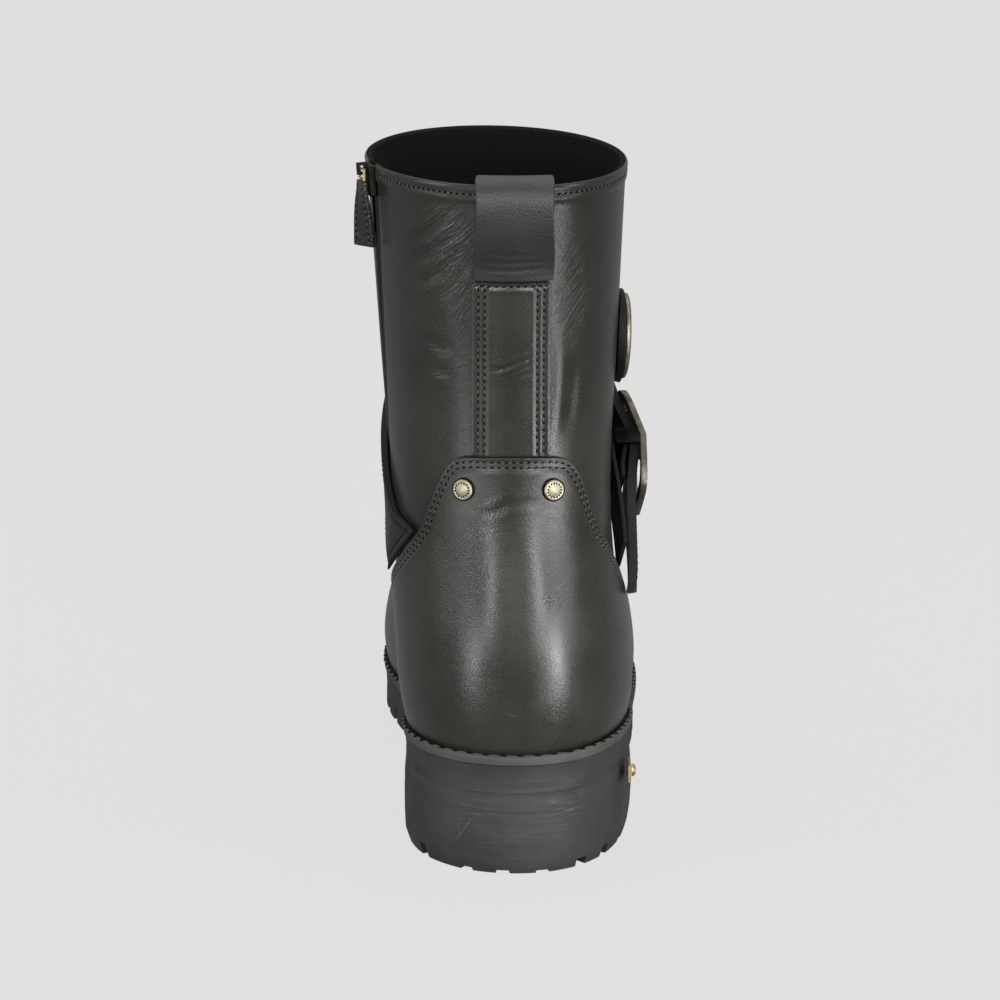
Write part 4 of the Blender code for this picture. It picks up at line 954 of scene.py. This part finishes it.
# Dust marks: what wear leaves on the boot, a hair-thin forked scratch on the heel, a curved one low on the
# counter, and a few pale specks of dust.
HEEL_SCRATCHES = (
    ((-16.0, 19.6), (-18.6, 15.4), (-21.4, 10.8)),
    ((-20.6, 17.0), (-20.4, 14.8), (-20.0, 12.6)),
)
COUNTER_SCRATCHES = (((-2.4, 59.2), (-0.5, 58.6), (1.4, 59.2)),)
COUNTER_SPECKS = (
    (-21.0, 102.7),
    (-23.2, 92.5),
    (-18.5, 87.8),
    (-22.4, 75.0),
    (-20.3, 71.3),
    (13.8, 94.0),
    (21.6, 100.5),
)
SCRATCH_OVERLAP = 1.5  # length of a bead, in steps
SCRATCH_WIDE, SCRATCH_TALL = 0.22, 0.10
SPECK_SIZE = (0.55, 0.35, 0.10)
SPECK_TURN_DEG = 20
pale_dust = plain("pale_dust", (0.085, 0.085, 0.082), 0.8)
dust = []
for tree, marks in ((sole_trees[1], HEEL_SCRATCHES), (counter_tree, COUNTER_SCRATCHES)):
    for mark in marks:
        line = from_behind(tree, rounded(mark, 8))
        for spot, step in zip(line, np.diff(line, axis=0)):
            seat, normal, _, _ = tree.find_nearest(Vector(spot))
            long = SCRATCH_OVERLAP * np.linalg.norm(step) / MM
            dust.append((seat, step, normal, (long, SCRATCH_WIDE, SCRATCH_TALL), 0, 0))
for spot in from_behind(counter_tree, COUNTER_SPECKS):
    seat, normal, _, _ = counter_tree.find_nearest(Vector(spot))
    dust.append((seat, (0, 0, 1), normal, SPECK_SIZE, SPECK_TURN_DEG, 0))
beads("dust_marks", dust, (pale_dust,), "boot", "rubber")

# Insole: a fibre board at the bottom of the boot, covered with a dark textile. It is the CAD piece itself,
# which only gets its finish here.
WEAVE = 0.8
insole_cloth, insole_shader, at = new_material("insole_cloth")
weave = at.noise(1 / (WEAVE * MM), 3.0)
feed(
    insole_shader,
    {
        "Base Color": weave.mix((0.008, 0.008, 0.008, 1), (0.018, 0.017, 0.016, 1)),
        "Roughness": 0.95,
        "Normal": weave.bumped(0.2),
    },
)
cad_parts["insole"].data.materials.clear()
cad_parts["insole"].data.materials.append(insole_cloth)

# Buckle: a bowed frame of aged nickel, pressed from plate, with ears that hold a blackened bar, and a prong
# of the same black steel bent round it.
EAR_REACH = 6.6  # mm round the bar
PLATE_EDGE_DEG = 35.0  # edges of plate that turn by more stay sharp
TARNISH = 3.0
SCRATCHES = (1500.0, 300.0, 300.0)  # per metre along x, y and z


def metal(name, bright, dull, rough=0.3):
    """Plated metal with a thin tarnish in patches and fine scratches."""
    made, shader, at = new_material(name)
    tarnish = at.noise(1 / (TARNISH * MM), 4.0)
    scratch = at.stretched(*SCRATCHES).noise(1.0, 2.0)
    feed(
        shader,
        {
            "Base Color": tarnish.between(0.35, 0.75).mix(bright, dull),
            "Metallic": 1.0,
            "Roughness": tarnish * 0.2 + rough,
            "Normal": scratch.bumped(0.015),
        },
    )
    return made


worn_nickel = metal("worn_nickel", (0.20, 0.19, 0.145, 1), (0.085, 0.08, 0.06, 1), 0.36)
black_steel = metal("black_steel", (0.020, 0.020, 0.018, 1), (0.010, 0.010, 0.009, 1), 0.5)
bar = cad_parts["buckle_bar"]
bar_points = np.array([bar.matrix_world @ vert.co for vert in bar.data.vertices])
bar_middle = bar_points.mean(axis=0)
bar_way = np.linalg.svd(bar_points - bar_middle)[2][0]
for node, finish in (
    ("buckle_frame", worn_nickel),
    ("buckle_bar", black_steel),
    ("buckle_prong", black_steel),
):
    buckle_shape = cad_copy(node)
    for face in buckle_shape.faces:
        off = np.array(face.calc_center_median()) - bar_middle
        off -= bar_way * (off @ bar_way)
        face.material_index = int(np.linalg.norm(off) < EAR_REACH * MM)
    buckle_mesh = smooth_mesh(buckle_shape, node + "_metal", round_mm=0.3, levels=0)
    buckle_mesh.set_sharp_from_angle(angle=math.radians(PLATE_EDGE_DEG))
    dress(buckle_mesh, finish, black_steel)
    add_piece(node + "_metal", buckle_mesh, "boot", "nickel", node)

# Rivets: two pale plated heads, pressed from sheet and set through counter and upper, each with a ring of
# small dark marks round a plain middle; the rim's lowest band is painted black as shadow on the leather.
# profile: radius and height in mm
RIVET_PROFILE = (
    (0.0, 1.38),
    (1.9, 1.35),
    (2.1, 1.18),
    (2.95, 1.08),
    (3.15, 1.20),
    (3.45, 1.02),
    (3.62, 0.75),
    (3.7, 0.55),
    (4.15, 0.45),
    (4.2, 0.0),
)
# painted shadow: the rim below this height is black, for the rivet's shadow on the leather
RIVET_SHADOW_RIM = 0.6  # mm, below this the rim is dark
RIVET_SIDES = 48
RIVET_MARKS = 15
RIVET_MARK_RADIUS, RIVET_MARK_HEIGHT = 2.52, 1.13
RIVET_MARK_SIZES = ((1.15, 0.72, 0.34), (0.85, 0.72, 0.34), (1.10, 0.72, 0.34), (0.95, 0.72, 0.34))

pale_plate = metal("pale_plate", (0.50, 0.465, 0.35, 1), (0.38, 0.345, 0.245, 1), 0.44)


def turned(shape, profile, place, sides):
    """A profile of (radius, height) points, turned round its axis and placed."""
    points = [shape.verts.new((radius, 0.0, height)) for radius, height in profile]
    edges = [shape.edges.new(pair) for pair in zip(points, points[1:])]
    bmesh.ops.spin(
        shape,
        geom=points + edges,
        axis=(0, 0, 1),
        cent=(0, 0, 0),
        angle=2 * math.pi,
        steps=sides,
        use_merge=True,
    )
    bmesh.ops.remove_doubles(shape, verts=shape.verts, dist=1e-4)
    bmesh.ops.transform(shape, matrix=place, verts=shape.verts)
    bmesh.ops.recalc_face_normals(shape, faces=shape.faces)


def disc_place(node):
    """Where a CAD disc sits: the middle of its base, its axis, and a matrix for shapes drawn on it in mm."""
    shape = cad_copy(node)
    points = np.array([vert.co for vert in shape.verts])
    shape.free()
    middle = points.mean(axis=0)
    _, _, axes = np.linalg.svd(points - middle)
    outwards = middle - np.array([SHAFT_MIDDLE[0] * MM, SHAFT_MIDDLE[1] * MM, middle[2]])
    axis = axes[2] * np.sign(axes[2] @ outwards)
    level = ((points - middle) @ axis).min()
    base = Vector(middle + axis * level)
    axis = Vector(axis)
    right = Vector((0, 0, 1)).cross(axis).normalized()
    turn = Matrix((right, axis.cross(right), axis)).transposed().to_4x4()
    return base, axis, Matrix.Translation(base) @ turn @ Matrix.Diagonal((MM, MM, MM, 1.0))


def ring(disc, count, radius, height, sizes, finishes=(0,)):
    """Places for beads in a ring on a disc, each lying away from the middle, sizes and finishes in turn."""
    base, axis, place = disc
    found = []
    for k in range(count):
        angle = 2 * math.pi * k / count
        spot = place @ Vector((radius * math.cos(angle), radius * math.sin(angle), height))
        found.append((spot, spot - base, axis, sizes[k % len(sizes)], 0, finishes[k % len(finishes)]))
    return found


for node in ("counter_rivet_inner", "counter_rivet_outer"):
    disc = base, axis, place = disc_place(node)
    rivet_shape = bmesh.new()
    turned(rivet_shape, RIVET_PROFILE, place, RIVET_SIDES)
    # painted shadow: the faces of the rim lowest down get the black finish
    for face in rivet_shape.faces:
        face.material_index = int((face.calc_center_median() - base).dot(axis) < RIVET_SHADOW_RIM * MM)
    rivet_mesh = mesh_of(rivet_shape, node + "_head", pale_plate, painted_shade_and_mark_black)
    add_piece(node + "_head", rivet_mesh, "boot", "nickel", node)
    marks = ring(disc, RIVET_MARKS, RIVET_MARK_RADIUS, RIVET_MARK_HEIGHT, RIVET_MARK_SIZES)
    beads(node + "_marks", marks, (painted_shade_and_mark_black,), "boot", "nickel")

# Medallion: a cast disc of aged nickel with a raised rim, a beaded border and a dark fluted dome, fixed
# through a leather disc to the outer side of the shaft.
# profile: radius and height in mm
MEDALLION_PROFILE = (
    (0.0, 2.2),
    (4.0, 2.15),
    (8.0, 1.95),
    (10.6, 1.6),
    (11.4, 1.05),
    (13.3, 1.0),
    (13.7, 1.5),
    (14.5, 1.7),
    (15.3, 1.35),
    (15.6, 0.5),
    (15.4, 0.0),
)
MEDALLION_SIDES = 72
MEDALLION_DARK = 13.2  # mm, how far out the dome's dark finish reaches
BORDER_BEADS = 36
BORDER_RADIUS, BORDER_HEIGHT = 12.4, 1.1
BORDER_SIZES = ((1.3, 1.3, 1.1),)
FLUTES = 14
FLUTE_RADIUS, FLUTE_HEIGHT = 7.2, 1.95
FLUTE_SIZES = ((5.6, 1.5, 0.9),)

aged_nickel = metal("aged_nickel", (0.34, 0.32, 0.24, 1), (0.15, 0.14, 0.10, 1), 0.34)
dark_nickel = metal("dark_nickel", (0.075, 0.072, 0.060, 1), (0.035, 0.034, 0.030, 1), 0.38)
disc = base, axis, place = disc_place("medallion")
disc_shape = bmesh.new()
turned(disc_shape, MEDALLION_PROFILE, place, MEDALLION_SIDES)
for face in disc_shape.faces:
    face.material_index = int((face.calc_center_median() - base).length < MEDALLION_DARK * MM)
disc_mesh = mesh_of(disc_shape, "medallion_disc", aged_nickel, dark_nickel)
add_piece("medallion_disc", disc_mesh, "boot", "nickel", "medallion")
relief = ring(disc, BORDER_BEADS, BORDER_RADIUS, BORDER_HEIGHT, BORDER_SIZES)
relief += ring(disc, FLUTES, FLUTE_RADIUS, FLUTE_HEIGHT, FLUTE_SIZES, (0, 1))
beads("medallion_relief", relief, (aged_nickel, dark_nickel), "boot", "nickel")

backing_shape = cad_copy("medallion_backing")
backing_mesh = smooth_mesh(backing_shape, "medallion_backing_leather", round_mm=0.4, levels=2)
dress(backing_mesh, edge_leather)
add_piece("medallion_backing_leather", backing_mesh, "boot", "leather", "medallion_backing")

# Zip: black woven tape sewn into the inner side of the shaft, darkened brass teeth and slider, and a pull of
# a bright wire link and a folded, sewn tab of coarse leather. The heel's small brass plate and stud take their
# finish here too.
TAB_INSET = 1.6
TAB_LONG = 10.0  # mm, an edge that falls by more is one of the tab's sides
TAB_PITCH = 2.2

brass = metal("brass", (0.72, 0.58, 0.32, 1), (0.46, 0.36, 0.18, 1))
dark_brass = metal("dark_brass", (0.022, 0.020, 0.016, 1), (0.012, 0.011, 0.009, 1), 0.45)
tab_leather = leather("tab_leather", (0.004, 0.004, 0.004, 1), (0.010, 0.010, 0.0095, 1), 0.9, 0.30, 0.30)
tape_cloth = plain("zip_tape", (0.006, 0.006, 0.006), 0.9)
for node, finish in (
    ("zip_tape", tape_cloth),
    ("zip_teeth", dark_brass),
    ("zip_slider", dark_brass),
    ("zip_pull_link", brass),
    ("heel_plate", brass),
    ("heel_stud", brass),
):
    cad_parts[node].data.materials.clear()
    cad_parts[node].data.materials.append(finish)

tab_shape = cad_copy("zip_pull_tab")
tab_shape.transform(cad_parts["zip_pull_tab"].matrix_world)
tab_edges = outer_chains(tab_shape)
tab_mesh = smooth_mesh(tab_shape, "zip_tab_leather", round_mm=0.5, levels=2)
dress(tab_mesh, tab_leather, tab_leather)
add_piece("zip_tab_leather", tab_mesh, "zip_pull", "leather", "zip_pull_tab")
tab_sides = [chain for chain in tab_edges if np.ptp(chain[0][:, 2]) > TAB_LONG * MM]
tab_rows = [row(chain, TAB_INSET, (TAB_INSET, TAB_INSET)) for chain in tab_sides]
stitches("zip_tab_stitches", tree_of(tab_mesh), tab_rows, TAB_PITCH, body="zip_pull")
